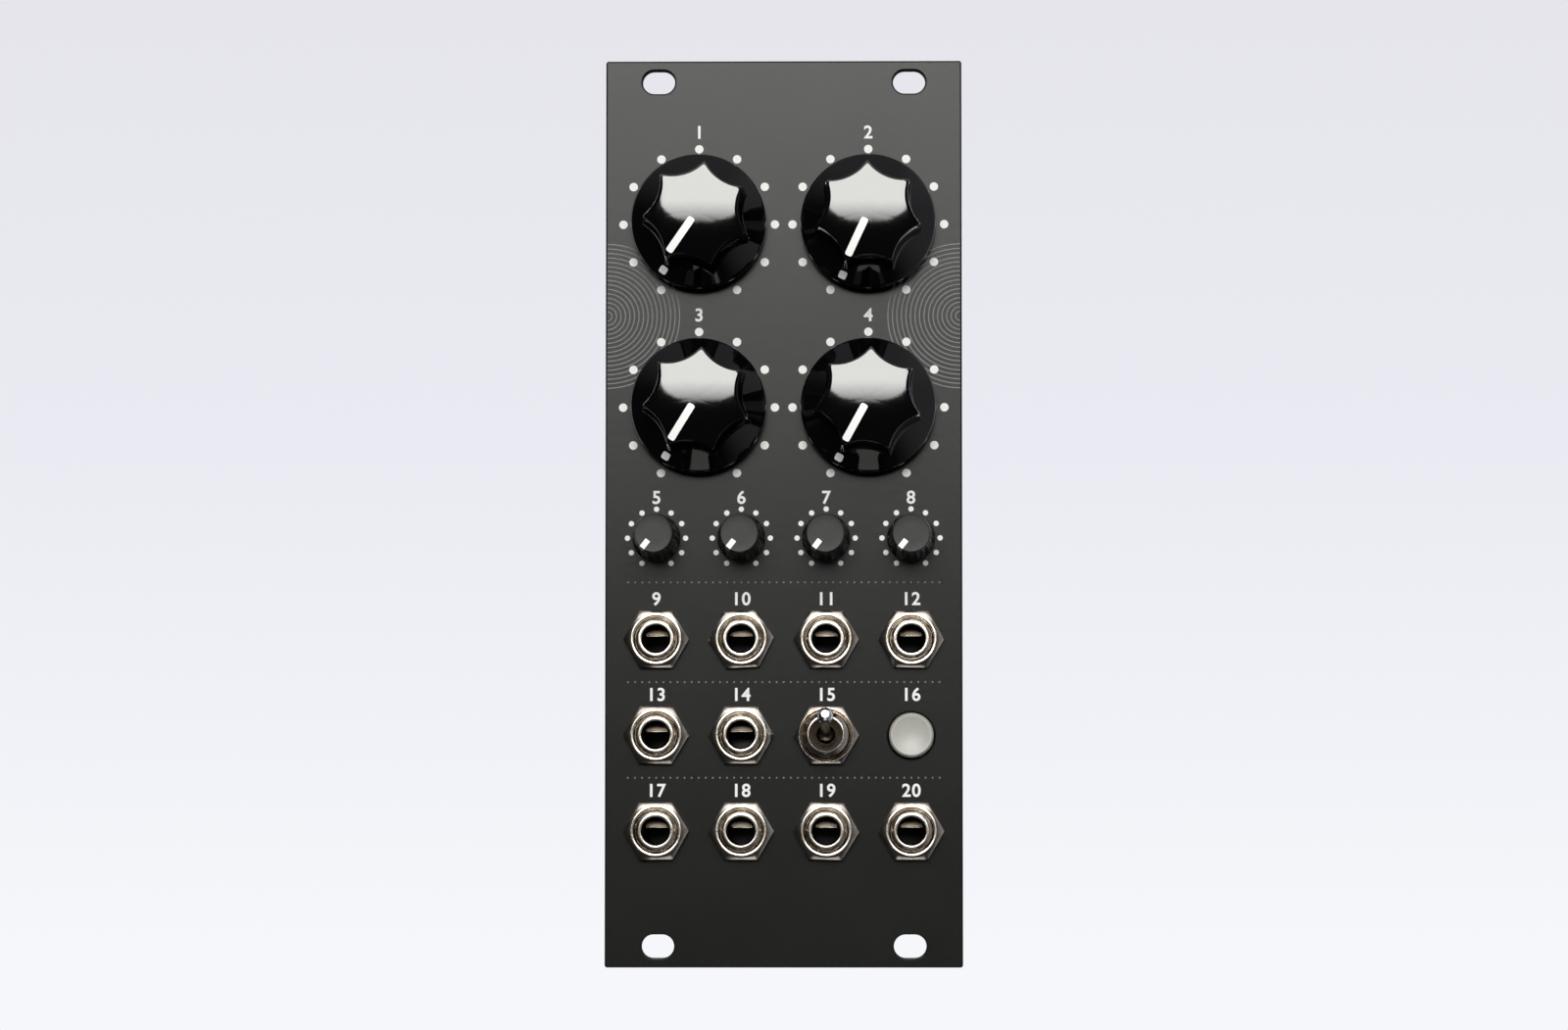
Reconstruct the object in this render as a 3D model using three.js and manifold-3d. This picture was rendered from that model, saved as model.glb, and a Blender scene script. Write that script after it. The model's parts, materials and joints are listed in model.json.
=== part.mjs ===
// Synthesizer rack module: an aluminium panel with large and small knobs, jack sockets, a toggle
// switch and a push button, all soldered to a control board, and a main board behind that.
// Millimetres. The panel stands in the XZ plane and faces -Y, +X is right and +Z is up.
// The origin is on the panel's back face, midway between the two lower mounting slots.
import * as THREE from 'three';
import { mergeVertices } from 'three/addons/utils/BufferGeometryUtils.js';
import Module from 'manifold-3d';

const wasm = await Module();
wasm.setup();

// Shared by all pieces
const overrun = 1; // how far a cutting body runs past the face it cuts
const running_gap = 0.3; // between a moving piece and what it moves in
const thread_gap = 0.15; // between a thread and the nut or hole around it
const round_sides = 18;
const knob_sides = 36;
const hidden_hole_sides = 14;
const nut_sides = 6;
const nut_slope_share = 0.55; // height of a nut's corner chamfer over its width

// Panel
const panel_width = 50.5;
const panel_height = 128.5;
const panel_thickness = 2;
const slot_from_edge = 3;
const slot_from_side = 7.5;
const slot_spacing = 35.56;
const slot_height = 3.3;
const slot_length = 4.6;
const rail_strip = 8.6; // height of the bare strip that lies on a rail
const rail_seat_width = 24; // of that strip, the plain part between the slots

// Layout: row heights are above the panel's lower edge, columns are about its centre line
const column_pitch = 12;
const large_row_upper = 105.15;
const large_row_lower = 79.1;
const small_row = 60.57;
const jack_row_lower = 19.15;
const jack_row_pitch = 13.53;

// Boards
const control_board_depth = 10; // from the panel's back face to the control board
const board_thickness = 1.6;
const board_spacing = 11; // clear space between the two boards
const board_side_margin = 1.25;
const board_end_margin = 10.5;

// Large knob
const knob_gap = 2; // from the panel to the knob's skirt
const knob_height = 12.4; // from the skirt's lower edge to the edge of the top
const knob_dome = 0.35;
const skirt_radius = 9.45;
const skirt_band = 2.2;
const skirt_round = 0.3;
const skirt_rise = 0.7;
const skirt_wall = 1.1;
const knob_recess = 1.7;
const flutes = 7;
const steps_per_flute = 6;
const cusp_radius = 7.45;
const flute_radius = 6.2;
const knob_draft_share = 0.04;
const dome_ring_share = 0.5;
const pointer_width = 1.05;
const pointer_depth = 0.25;
const pointer_start = 0.4;
const pointer_end = 6.5;
const shaft_end_wall = 2.5; // knob material in front of the shaft's end

// Large potentiometer
const pot_width = 9.5;
const pot_height = 11;
const pot_depth = 6.8;
const pot_back_wall = 2;
const bushing_radius = 3.5;
const bushing_proud = 3.2;
const bushing_edge = 0.35;
const shaft_radius = 3;
const shaft_edge = 0.4;
const shaft_flat = 1.2;
const shaft_flat_length = 7.5;
const pot_tab_width = 2.2;
const pot_tab_thickness = 0.8;
const pot_pin_width = 0.9;
const pot_pin_thickness = 0.5;
const pot_pin_pitch = 2.5;
const pot_pin_inset = 0.7;
const pot_nut_flats = 10;
const pot_nut_thickness = 2;
const pot_nut_chamfer = 4.7;

// Small knob, moulded in one piece with its stem
const cap_radius = 2.7;
const cap_edge = 0.15;
const cap_height = 12;
const foot_radius = 3.42;
const knurl_ribs = 20;
const knurl_depth = 0.2;
const knurl_top = 0.8; // plain rim between the top and the ribs
const rib_share = 0.5; // rib width over rib pitch
const shank_radius = 3.3;
const shank_gap = 0.5; // between the shank and the panel's hole
const stem_radius = 2;
const stem_length = 3.8;
const mark_width = 0.8;
const mark_depth = 0.2;
const mark_start = 1.15;

// Small potentiometer
const small_pot_width = 9.5;
const small_pot_height = 10.8;
const small_pot_depth = 6;

// Jack socket
const jack_width = 9;
const jack_height = 10.5;
const jack_drop = 0.5; // from the housing's middle up to the bore
const jack_back_wall = 0.6;
const barrel_radius = 3;
const barrel_length = 4.5;
const barrel_edge = 0.55;
const mouth_radius = 2.15;
const mouth_depth = 0.45;
const bore_radius = 1.8;
const contact_width = 3.1;
const contact_height = 0.7;
const contact_rise = 0.22;
const contact_depth = 4.2; // from the panel's back face to the contact's end
const jack_nut_flats = 8;
const jack_nut_thickness = 1.8;
const jack_nut_chamfer = 3.62;

// Toggle switch
const toggle_width = 7;
const toggle_height = 12.7;
const toggle_depth = 8.8;
const toggle_bushing_radius = 3.15;
const toggle_bushing_proud = 6.9;
const toggle_bushing_edge = 0.5;
const dish_radius = 2.4;
const dish_depth = 2;
const throat_length = 0.8;
const toggle_cavity_radius = 2.3;
const toggle_cavity_wall = 2.5;
const toggle_terminal_width = 1.5;
const toggle_terminal_thickness = 0.8;
const toggle_terminal_pitch = 4.7;
const toggle_nut_thickness = 2;
const toggle_nut_chamfer = 3.8;
const lever_length = 10.6; // from the pivot to the middle of the ball
const lever_ball_radius = 1.2;
const lever_neck_radius = 0.75;
const lever_stem_radius = 0.52;
const lever_flare = 4.6;
const lever_pivot_radius = 1.25;
const lever_tail_radius = 0.7;
const lever_tail_length = 3.5;
const lever_sides = 12;
const lever_tilt = 13; // degrees from the switch's axis

// Push button
const button_radius = 3.15;
const button_hole_gap = 0.2;
const button_proud = 2;
const button_edge = 0.45;
const button_skirt = 3.4; // cap length behind the panel's front
const button_stem_radius = 1.5;
const button_stem_length = 4;
const button_travel = 0.8;
const switch_size = 6.4;
const switch_depth = 5.6;

// Links and spacers between the boards
const link_length = 25.4;
const link_width = 2.5;
const link_socket_height = 8.5;
const link_inset = 2.6; // from the board's side to the middle of the strip
const link_from_end = 36; // from the board's lower end to the strip's middle
const spacer_radius = 2.6;
const spacer_neck_radius = 1.4;
const spacer_hole_gap = 0.15;
const spacer_head_radius = 1.75;
const spacer_head_length = 2.2;
const spacer_tip_radius = 0.7;
const spacer_sides = 12;

// Power connector
const header_length = 20.3;
const header_width = 8.8;
const header_height = 9.1;
const header_wall = 1.1;
const header_floor = 2.6;
const header_key_width = 4.5;
const header_key_depth = 5;
const header_pin_size = 0.64;
const header_pin_pitch = 2.54;
const header_pin_columns = 5;
const header_pin_inset = 0.9; // from the rim down to the pins' tips
const header_from_end = 15; // from the board's lower end to the connector's middle

// Parts soldered to the main board
const chip_length = 8.7;
const chip_width = 3.9;
const chip_height = 1.6;
const chip_spacing = 14;
const chip_row_gap = 15;
const chip_from_end = 15.5; // from the board's upper end to the middle of the top row
const chip_rows = 3;
const can_radius = 3.15;
const can_height = 7;
const can_spacing = 30;
const can_sides = 16;

const front = -panel_thickness;
const panel_foot = -slot_from_edge;
const board_width = panel_width - 2 * board_side_margin;
const board_foot = panel_foot + board_end_margin;
const board_height = panel_height - 2 * board_end_margin;
const control_back = control_board_depth + board_thickness;
const main_front = control_back + board_spacing;
const main_back = main_front + board_thickness;
const knob_foot = front - knob_gap;
const knob_top = knob_foot - knob_height;
const shaft_front = knob_top + shaft_end_wall;

// Basic shapes. Round ones turn about Y, which is square to the panel.

function withoutSlivers(geometry) {
  const index = [];
  const all = geometry.index.array;
  for (let i = 0; i < all.length; i += 3) {
    const [a, b, c] = [all[i], all[i + 1], all[i + 2]];
    if (a !== b && b !== c && c !== a) index.push(a, b, c);
  }
  return index;
}

function signedVolume(positions, index) {
  const [a, b, c] = [new THREE.Vector3(), new THREE.Vector3(), new THREE.Vector3()];
  let volume = 0;
  for (let i = 0; i < index.length; i += 3) {
    a.fromArray(positions, 3 * index[i]);
    b.fromArray(positions, 3 * index[i + 1]);
    c.fromArray(positions, 3 * index[i + 2]);
    volume += a.dot(b.cross(c));
  }
  return volume;
}

function solid(geometry) {
  const bare = geometry.clone();
  bare.deleteAttribute('normal');
  bare.deleteAttribute('uv');
  const merged = mergeVertices(bare);
  const positions = merged.attributes.position.array;
  const index = withoutSlivers(merged);
  if (signedVolume(positions, index) < 0) index.reverse();
  const mesh = new wasm.Mesh({
    numProp: 3,
    vertProperties: Float32Array.from(positions),
    triVerts: Uint32Array.from(index),
  });
  return new wasm.Manifold(mesh);
}

function block(x, y, z) {
  const size = [x[1] - x[0], y[1] - y[0], z[1] - z[0]];
  const geometry = new THREE.BoxGeometry(...size);
  geometry.translate((x[0] + x[1]) / 2, (y[0] + y[1]) / 2, (z[0] + z[1]) / 2);
  return solid(geometry);
}

function post(x, z, width, height, y) {
  return block([x - width / 2, x + width / 2], y, [z - height / 2, z + height / 2]);
}

function turnedGeometry(profile, sides = round_sides) {
  return new THREE.LatheGeometry(profile.map(([r, y]) => new THREE.Vector2(r, y)), sides);
}

function turned(profile, sides = round_sides) {
  return solid(turnedGeometry(profile, sides));
}

function rod(radius, y_front, y_back, sides = round_sides) {
  return turned([[0, y_front], [radius, y_front], [radius, y_back], [0, y_back]], sides);
}

// A cutting rod whose flats, not its corners, are at the radius
function drill(radius, y_front, y_back, sides = round_sides) {
  return rod(radius / Math.cos(Math.PI / sides), y_front, y_back, sides);
}

function plate(shape, y_front, y_back) {
  const geometry = new THREE.ExtrudeGeometry(shape, {
    depth: y_back - y_front,
    bevelEnabled: false,
    curveSegments: round_sides / 3,
  });
  geometry.rotateX(Math.PI / 2);
  geometry.translate(0, y_back, 0);
  return solid(geometry);
}

// Points round (x, y) in a turned profile, by degrees from the front of the piece
function arc(x, y, radius, from, to, steps) {
  const points = [];
  for (let i = 0; i <= steps; i += 1) {
    const angle = THREE.MathUtils.degToRad(from + ((to - from) * i) / steps);
    points.push([x + radius * Math.sin(angle), y - radius * Math.cos(angle)]);
  }
  return points;
}

function moved(body, x, z) {
  return body.translate([x, 0, z]);
}

function columns(count, pitch) {
  return Array.from({ length: count }, (_, i) => (i - (count - 1) / 2) * pitch);
}

// Where each control sits

const large_places = [large_row_upper, large_row_lower].flatMap((row) =>
  [-column_pitch, column_pitch].map((x) => [x, row + panel_foot]));
const small_places = columns(4, column_pitch).map((x) => [x, small_row + panel_foot]);
const jack_rows = [2, 1, 0].map((i) => jack_row_lower + i * jack_row_pitch + panel_foot);
const jack_places = jack_rows.flatMap((z, row) =>
  columns(4, column_pitch).filter((x) => row !== 1 || x < 0).map((x) => [x, z]));
const toggle_place = [column_pitch / 2, jack_rows[1]];
const button_place = [toggle_place[0] + column_pitch, jack_rows[1]];
const spacer_places = [
  [0, (large_row_upper + large_row_lower) / 2 + panel_foot],
  [0, (small_row + jack_row_lower + 2 * jack_row_pitch) / 2 + panel_foot - jack_drop / 2],
];

// Panel: a sheet with mounting slots and one hole for each control

function slotShape() {
  const shape = new THREE.Shape();
  const radius = slot_height / 2;
  const reach = slot_length / 2 - radius;
  shape.absarc(reach, 0, radius, -Math.PI / 2, Math.PI / 2);
  shape.absarc(-reach, 0, radius, Math.PI / 2, (3 * Math.PI) / 2);
  return shape;
}

function panel() {
  const half = panel_width / 2;
  const top = panel_foot + panel_height;
  const strips = [[panel_foot, panel_foot + rail_strip], [top - rail_strip, top]];
  const seams = [-half, -rail_seat_width / 2, rail_seat_width / 2, half];
  let sheet = block([-half, half], [front, 0], [strips[0][1], strips[1][0]]);
  for (const strip of strips) {
    for (let i = 1; i < seams.length; i += 1) {
      sheet = sheet.add(block([seams[i - 1], seams[i]], [front, 0], strip));
    }
  }
  const slot = plate(slotShape(), front - overrun, overrun);
  for (const z of [0, panel_height - 2 * slot_from_edge]) {
    for (const x of [0, slot_spacing]) {
      sheet = sheet.subtract(moved(slot, slot_from_side - half + x, z));
    }
  }
  const holes = [
    [large_places, bushing_radius + thread_gap, hidden_hole_sides],
    [small_places, shank_radius + shank_gap, round_sides],
    [jack_places, barrel_radius + thread_gap, hidden_hole_sides],
    [[toggle_place], toggle_bushing_radius + thread_gap, hidden_hole_sides],
    [[button_place], button_radius + button_hole_gap, round_sides],
  ];
  for (const [places, radius, sides] of holes) {
    const hole = drill(radius, front - overrun, overrun, sides);
    for (const [x, z] of places) sheet = sheet.subtract(moved(hole, x, z));
  }
  return sheet;
}

// Hexagon nut on the panel's front, with its outer corners turned off

function nut(flats, thickness, chamfer_radius, hole_radius) {
  const corner = flats / 2 / Math.cos(Math.PI / nut_sides);
  const shape = new THREE.Shape();
  for (let i = 0; i < nut_sides; i += 1) {
    const angle = (2 * i * Math.PI) / nut_sides;
    const [x, z] = [corner * Math.cos(angle), corner * Math.sin(angle)];
    if (i === 0) shape.moveTo(x, z);
    else shape.lineTo(x, z);
  }
  const face = front - thickness;
  const outer = corner + overrun;
  const rounding = turned([
    [0, face],
    [chamfer_radius, face],
    [outer, face + (outer - chamfer_radius) * nut_slope_share],
    [outer, front + overrun],
    [0, front + overrun],
  ]);
  const hole = drill(hole_radius, face - overrun, front + overrun);
  return plate(shape, face, front).intersect(rounding).subtract(hole);
}

// Large knob: a skirt and a fluted grip, hollow underneath, with a groove as its pointer

function fluteShare(angle) {
  const half_pitch = Math.PI / flutes;
  const centre = cusp_radius * Math.cos(half_pitch)
    + Math.sqrt(flute_radius ** 2 - (cusp_radius * Math.sin(half_pitch)) ** 2);
  const turn = THREE.MathUtils.euclideanModulo(angle, 2 * half_pitch) - half_pitch;
  const reach = centre * Math.cos(turn)
    - Math.sqrt(flute_radius ** 2 - (centre * Math.sin(turn)) ** 2);
  return reach / cusp_radius;
}

function withRadii(geometry, share) {
  const place = geometry.attributes.position;
  for (let i = 0; i < place.count; i += 1) {
    const factor = share(Math.atan2(place.getX(i), place.getZ(i)), place.getY(i));
    place.setX(i, place.getX(i) * factor);
    place.setZ(i, place.getZ(i) * factor);
  }
  return solid(geometry);
}

function grip() {
  const base_radius = cusp_radius * (1 + knob_draft_share);
  const profile = [
    [0, knob_top - knob_dome],
    [cusp_radius * dome_ring_share, knob_top - knob_dome * (1 - dome_ring_share ** 2)],
    [cusp_radius, knob_top],
    [base_radius, knob_foot - skirt_band],
    [0, knob_foot - skirt_band],
  ];
  return withRadii(turnedGeometry(profile, flutes * steps_per_flute), fluteShare);
}

function skirt() {
  return turned([
    [0, knob_foot],
    [skirt_radius, knob_foot],
    [skirt_radius, knob_foot - skirt_band],
    [skirt_radius - skirt_round, knob_foot - skirt_band - skirt_round],
    [cusp_radius * (1 - knob_draft_share), knob_foot - skirt_band - skirt_rise],
    [0, knob_foot - skirt_band - skirt_rise],
  ], knob_sides);
}

function largeKnob() {
  const recess = rod(skirt_radius - skirt_wall, knob_foot - knob_recess, knob_foot + overrun);
  const bore = drill(shaft_radius + thread_gap, shaft_front, knob_foot + overrun);
  const groove = block(
    [-pointer_width / 2, pointer_width / 2],
    [knob_top - knob_dome - overrun, knob_top + pointer_depth],
    [pointer_start, pointer_end],
  );
  return grip().add(skirt()).subtract(recess).subtract(bore).subtract(groove);
}

// Large potentiometer: housing, threaded bushing, side tabs and pins, and the shaft it turns

function potBody() {
  const half = pot_width / 2;
  const bushing_end = front - bushing_proud;
  let body = block([-half, half], [0, pot_depth], [-pot_height / 2, pot_height / 2]);
  body = body.add(turned([
    [0, bushing_end],
    [bushing_radius - bushing_edge, bushing_end],
    [bushing_radius, bushing_end + bushing_edge],
    [bushing_radius, pot_depth / 2],
    [0, pot_depth / 2],
  ]));
  const legs = [pot_depth - pot_back_wall, control_board_depth];
  for (const side of [-1, 1]) {
    const x = side * (half - pot_tab_thickness / 2);
    body = body.add(post(x, 0, pot_tab_thickness, pot_tab_width, legs));
  }
  for (const x of columns(3, pot_pin_pitch)) {
    const z = pot_pin_inset - pot_height / 2;
    body = body.add(post(x, z, pot_pin_width, pot_pin_thickness, legs));
  }
  return body.subtract(drill(shaft_radius + thread_gap, bushing_end - overrun, pot_depth - pot_back_wall));
}

function potShaft() {
  const back = pot_depth - pot_back_wall - running_gap;
  const body = turned([
    [0, shaft_front],
    [shaft_radius - shaft_edge, shaft_front],
    [shaft_radius, shaft_front + shaft_edge],
    [shaft_radius, back],
    [0, back],
  ]);
  const flat = block(
    [-shaft_radius - overrun, shaft_radius + overrun],
    [shaft_front - overrun, shaft_front + shaft_flat_length],
    [shaft_radius - shaft_flat, shaft_radius + overrun],
  );
  return body.subtract(flat);
}

// Small knob on its own potentiometer: a ribbed cone with a flat top and a stem

function ribShare(angle, y) {
  const pitch = (2 * Math.PI) / knurl_ribs;
  const from_rib = Math.abs(THREE.MathUtils.euclideanModulo(angle, pitch) - pitch / 2);
  const ribbed = y > front - cap_height + knurl_top / 2;
  return ribbed && from_rib < (pitch * rib_share) / 2 ? 1 - knurl_depth / foot_radius : 1;
}

function smallKnob() {
  const top = front - cap_height;
  const pot_face = control_board_depth - small_pot_depth;
  const slope = (foot_radius - cap_radius) / cap_height;
  const cone = withRadii(turnedGeometry([
    [0, top],
    [cap_radius - cap_edge, top],
    [cap_radius, top + cap_edge],
    [cap_radius + slope * knurl_top, top + knurl_top],
    [foot_radius, front],
    [0, front],
  ], 2 * knurl_ribs), ribShare);
  const shank = turned([
    [0, front - knurl_top],
    [shank_radius - knurl_depth, front - knurl_top],
    [shank_radius - knurl_depth, pot_face - running_gap],
    [stem_radius, pot_face - running_gap],
    [stem_radius, pot_face + stem_length],
    [0, pot_face + stem_length],
  ]);
  const groove = block(
    [-mark_width / 2, mark_width / 2],
    [top - overrun, top + mark_depth],
    [mark_start, cap_radius + overrun],
  );
  return cone.add(shank).subtract(groove);
}

function smallPot() {
  const face = control_board_depth - small_pot_depth;
  const half = small_pot_width / 2;
  const span = [face, control_board_depth];
  const body = block([-half, half], span, [-small_pot_height / 2, small_pot_height / 2]);
  return body.subtract(drill(stem_radius + running_gap, face - overrun, face + stem_length + running_gap));
}

// Jack socket: housing with a threaded barrel, a stepped bore and the tip contact inside

function jackBody() {
  const half = jack_width / 2;
  const low = -jack_height / 2 - jack_drop;
  const back = control_board_depth - jack_back_wall;
  const housing = block([-half, half], [0, control_board_depth], [low, low + jack_height]);
  const barrel = turned([
    [0, -barrel_length],
    [barrel_radius - barrel_edge, -barrel_length],
    [barrel_radius, barrel_edge - barrel_length],
    [barrel_radius, control_board_depth / 2],
    [0, control_board_depth / 2],
  ]);
  const bore = turned([
    [0, -barrel_length - overrun],
    [mouth_radius, -barrel_length - overrun],
    [mouth_radius, -barrel_length],
    [bore_radius, mouth_depth - barrel_length],
    [bore_radius, back],
    [0, back],
  ]);
  const contact = block(
    [-contact_width / 2, contact_width / 2],
    [contact_depth, control_board_depth],
    [contact_rise, contact_rise + contact_height],
  );
  return housing.add(barrel).subtract(bore).add(contact);
}

// Toggle switch: housing, threaded bushing with a dished mouth, terminals, and the lever

const lever_pivot_y = front - toggle_bushing_proud + dish_depth;

function toggleBody() {
  const half = toggle_width / 2;
  const mouth = front - toggle_bushing_proud;
  const throat_radius = lever_pivot_radius + running_gap;
  const floor = toggle_depth - toggle_cavity_wall;
  let body = block([-half, half], [0, toggle_depth], [-toggle_height / 2, toggle_height / 2]);
  body = body.add(turned([
    [0, mouth],
    [toggle_bushing_radius - toggle_bushing_edge, mouth],
    [toggle_bushing_radius, mouth + toggle_bushing_edge],
    [toggle_bushing_radius, toggle_depth / 2],
    [0, toggle_depth / 2],
  ]));
  for (const z of columns(3, toggle_terminal_pitch)) {
    const span = [floor, control_board_depth];
    body = body.add(post(0, z, toggle_terminal_width, toggle_terminal_thickness, span));
  }
  return body.subtract(turned([
    [0, mouth - overrun],
    [dish_radius, mouth - overrun],
    [dish_radius, mouth],
    [throat_radius, mouth + dish_depth],
    [throat_radius, mouth + dish_depth + throat_length],
    [toggle_cavity_radius, mouth + dish_depth + throat_length + running_gap],
    [toggle_cavity_radius, floor],
    [0, floor],
  ]));
}

function toggleLever() {
  const neck_angle = 180 - THREE.MathUtils.radToDeg(Math.asin(lever_neck_radius / lever_ball_radius));
  const stem_angle = THREE.MathUtils.radToDeg(Math.asin(lever_stem_radius / lever_pivot_radius));
  const tail_angle = 180 - THREE.MathUtils.radToDeg(Math.asin(lever_tail_radius / lever_pivot_radius));
  return turned([
    ...arc(0, -lever_length, lever_ball_radius, 0, neck_angle, 6),
    [lever_stem_radius, lever_flare - lever_length],
    ...arc(0, 0, lever_pivot_radius, stem_angle, tail_angle, 5),
    [lever_tail_radius, lever_tail_length],
    [0, lever_tail_length],
  ], lever_sides);
}

// Push button: a round cap on a stem, and the momentary switch that returns it

function buttonCap() {
  const face = front - button_proud;
  const skirt_end = front + button_skirt;
  return turned([
    [0, face],
    ...arc(button_radius - button_edge, face + button_edge, button_edge, 0, 90, 2),
    [button_radius, skirt_end],
    [button_stem_radius, skirt_end],
    [button_stem_radius, skirt_end + button_stem_length],
    [0, skirt_end + button_stem_length],
  ]);
}

function buttonSwitch() {
  const face = control_board_depth - switch_depth;
  const stem_end = front + button_skirt + button_stem_length;
  const well_end = stem_end + button_travel + running_gap;
  const body = post(0, 0, switch_size, switch_size, [face, control_board_depth]);
  return body.subtract(drill(button_stem_radius + running_gap, face - overrun, well_end));
}

// Boards, with their soldered parts, and what holds them together

function boardSheet(y_front) {
  const half = board_width / 2;
  const y_back = y_front + board_thickness;
  let sheet = block([-half, half], [y_front, y_back], [board_foot, board_foot + board_height]);
  const radius = spacer_neck_radius + spacer_hole_gap;
  const hole = drill(radius, y_front - overrun, y_back + overrun, spacer_sides);
  for (const [x, z] of spacer_places) sheet = sheet.subtract(moved(hole, x, z));
  return sheet;
}

function mainBoard() {
  let board = boardSheet(main_front);
  const sink = board_thickness / 2;
  for (let row = 0; row < chip_rows; row += 1) {
    const z = board_foot + board_height - chip_from_end - row * chip_row_gap;
    for (const x of columns(2, chip_spacing)) {
      board = board.add(post(x, z, chip_width, chip_length, [main_back - sink, main_back + chip_height]));
    }
  }
  const can = rod(can_radius, main_back - sink, main_back + can_height, can_sides);
  for (const x of columns(2, can_spacing)) board = board.add(moved(can, x, board_foot + header_from_end));
  return board;
}

function linkSocket() {
  return post(0, 0, link_width, link_length, [control_back, control_back + link_socket_height]);
}

function linkHeader() {
  return post(0, 0, link_width, link_length, [control_back + link_socket_height, main_front]);
}

function spacer() {
  const head = [
    [spacer_head_radius, running_gap],
    [spacer_tip_radius, spacer_head_length],
  ];
  const ends = [
    [control_board_depth, -1, control_back],
    [main_back, 1, main_front],
  ];
  const [near, far] = ends.map(([face, way, shoulder]) => [
    [0, face + way * spacer_head_length],
    ...head.slice().reverse().map(([r, y]) => [r, face + way * y]),
    [spacer_neck_radius, face + way * running_gap],
    [spacer_neck_radius, shoulder],
    [spacer_radius, shoulder],
  ]);
  return turned([...near, ...far.reverse()], spacer_sides);
}

function powerHeader() {
  const top = main_back + header_height;
  const z = board_foot + header_from_end;
  const [half_x, half_z] = [header_length / 2, header_width / 2];
  let body = post(0, z, header_length, header_width, [main_back, top]);
  const inner = [header_length - 2 * header_wall, header_width - 2 * header_wall];
  body = body.subtract(post(0, z, ...inner, [main_back + header_floor, top + overrun]));
  body = body.subtract(block(
    [-header_key_width / 2, header_key_width / 2],
    [top - header_key_depth, top + overrun],
    [z + half_z - header_wall - overrun, z + half_z + overrun],
  ));
  for (const x of columns(header_pin_columns, header_pin_pitch)) {
    for (const row of columns(2, header_pin_pitch)) {
      const span = [main_back + header_floor / 2, top - header_pin_inset];
      body = body.add(post(x, z + row, header_pin_size, header_pin_size, span));
    }
  }
  return body;
}

// Finishes: colour, roughness and metalness

const finishes = {
  panel: [0x2b2b2a, 0.45, 0.2],
  knob: [0x0b0b0c, 0.12, 0],
  small_knob: [0x2c2c2c, 0.6, 0],
  nickel: [0xc9c5bd, 0.25, 1],
  shaft: [0xa9a49b, 0.35, 1],
  pot: [0x2f4f3a, 0.55, 0],
  jack: [0x16161a, 0.5, 0],
  toggle: [0x7d2320, 0.5, 0],
  lever: [0xd8d8d8, 0.12, 1],
  button: [0xd2d1cb, 0.35, 0],
  switch: [0x1c1c1e, 0.5, 0],
  board: [0x14171b, 0.4, 0],
  connector: [0x121214, 0.5, 0],
  nylon: [0xe6e4dc, 0.5, 0],
};

const rack_module = new THREE.Group();

function add(name, body, finish, place = [0, 0], turn = 0) {
  const mesh = body.getMesh();
  const geometry = new THREE.BufferGeometry();
  geometry.setAttribute('position', new THREE.BufferAttribute(Float32Array.from(mesh.vertProperties), 3));
  geometry.setIndex(new THREE.BufferAttribute(Uint32Array.from(mesh.triVerts), 1));
  geometry.computeVertexNormals();
  const [color, roughness, metalness] = finishes[finish];
  const piece = new THREE.Mesh(geometry, new THREE.MeshStandardMaterial({ color, roughness, metalness }));
  piece.name = name;
  piece.position.set(place[0], 0, place[1]);
  piece.rotation.y = THREE.MathUtils.degToRad(turn);
  rack_module.add(piece);
  return piece;
}

// Where each pointer rests, in degrees clockwise from straight up, and how each jack nut lies
const large_knob_turns = [-145, -155, -148, -151];
const small_knob_turns = [-142, -142, -142, -142];
const jack_nut_turns = [0, -3, 0, 1, 1, 0, -1, 0, 2, 0];

add('front_panel', panel(), 'panel');

const large_knob = largeKnob();
const pot_body = potBody();
const pot_shaft = potShaft();
const pot_nut = nut(pot_nut_flats, pot_nut_thickness, pot_nut_chamfer, bushing_radius + thread_gap);
large_places.forEach((place, i) => {
  add(`large_knob_${i + 1}`, large_knob, 'knob', place, large_knob_turns[i]);
  add(`pot_shaft_${i + 1}`, pot_shaft, 'shaft', place, large_knob_turns[i]);
  add(`pot_nut_${i + 1}`, pot_nut, 'nickel', place);
  add(`pot_body_${i + 1}`, pot_body, 'pot', place);
});

const small_knob = smallKnob();
const small_pot = smallPot();
small_places.forEach((place, i) => {
  add(`small_knob_${i + 1}`, small_knob, 'small_knob', place, small_knob_turns[i]);
  add(`small_pot_${i + 1}`, small_pot, 'pot', place);
});

const jack_body = jackBody();
const jack_nut = nut(jack_nut_flats, jack_nut_thickness, jack_nut_chamfer, barrel_radius + thread_gap);
jack_places.forEach((place, i) => {
  add(`jack_${i + 1}`, jack_body, 'jack', place);
  add(`jack_nut_${i + 1}`, jack_nut, 'nickel', place, jack_nut_turns[i]);
});

add('toggle_body', toggleBody(), 'toggle', toggle_place);
add('toggle_nut', nut(jack_nut_flats, toggle_nut_thickness, toggle_nut_chamfer,
  toggle_bushing_radius + thread_gap), 'nickel', toggle_place);
const lever = add('toggle_lever', toggleLever(), 'lever', toggle_place);
lever.position.y = lever_pivot_y;
lever.rotation.x = -THREE.MathUtils.degToRad(lever_tilt);

add('button_cap', buttonCap(), 'button', button_place);
add('button_switch', buttonSwitch(), 'switch', button_place);

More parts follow.
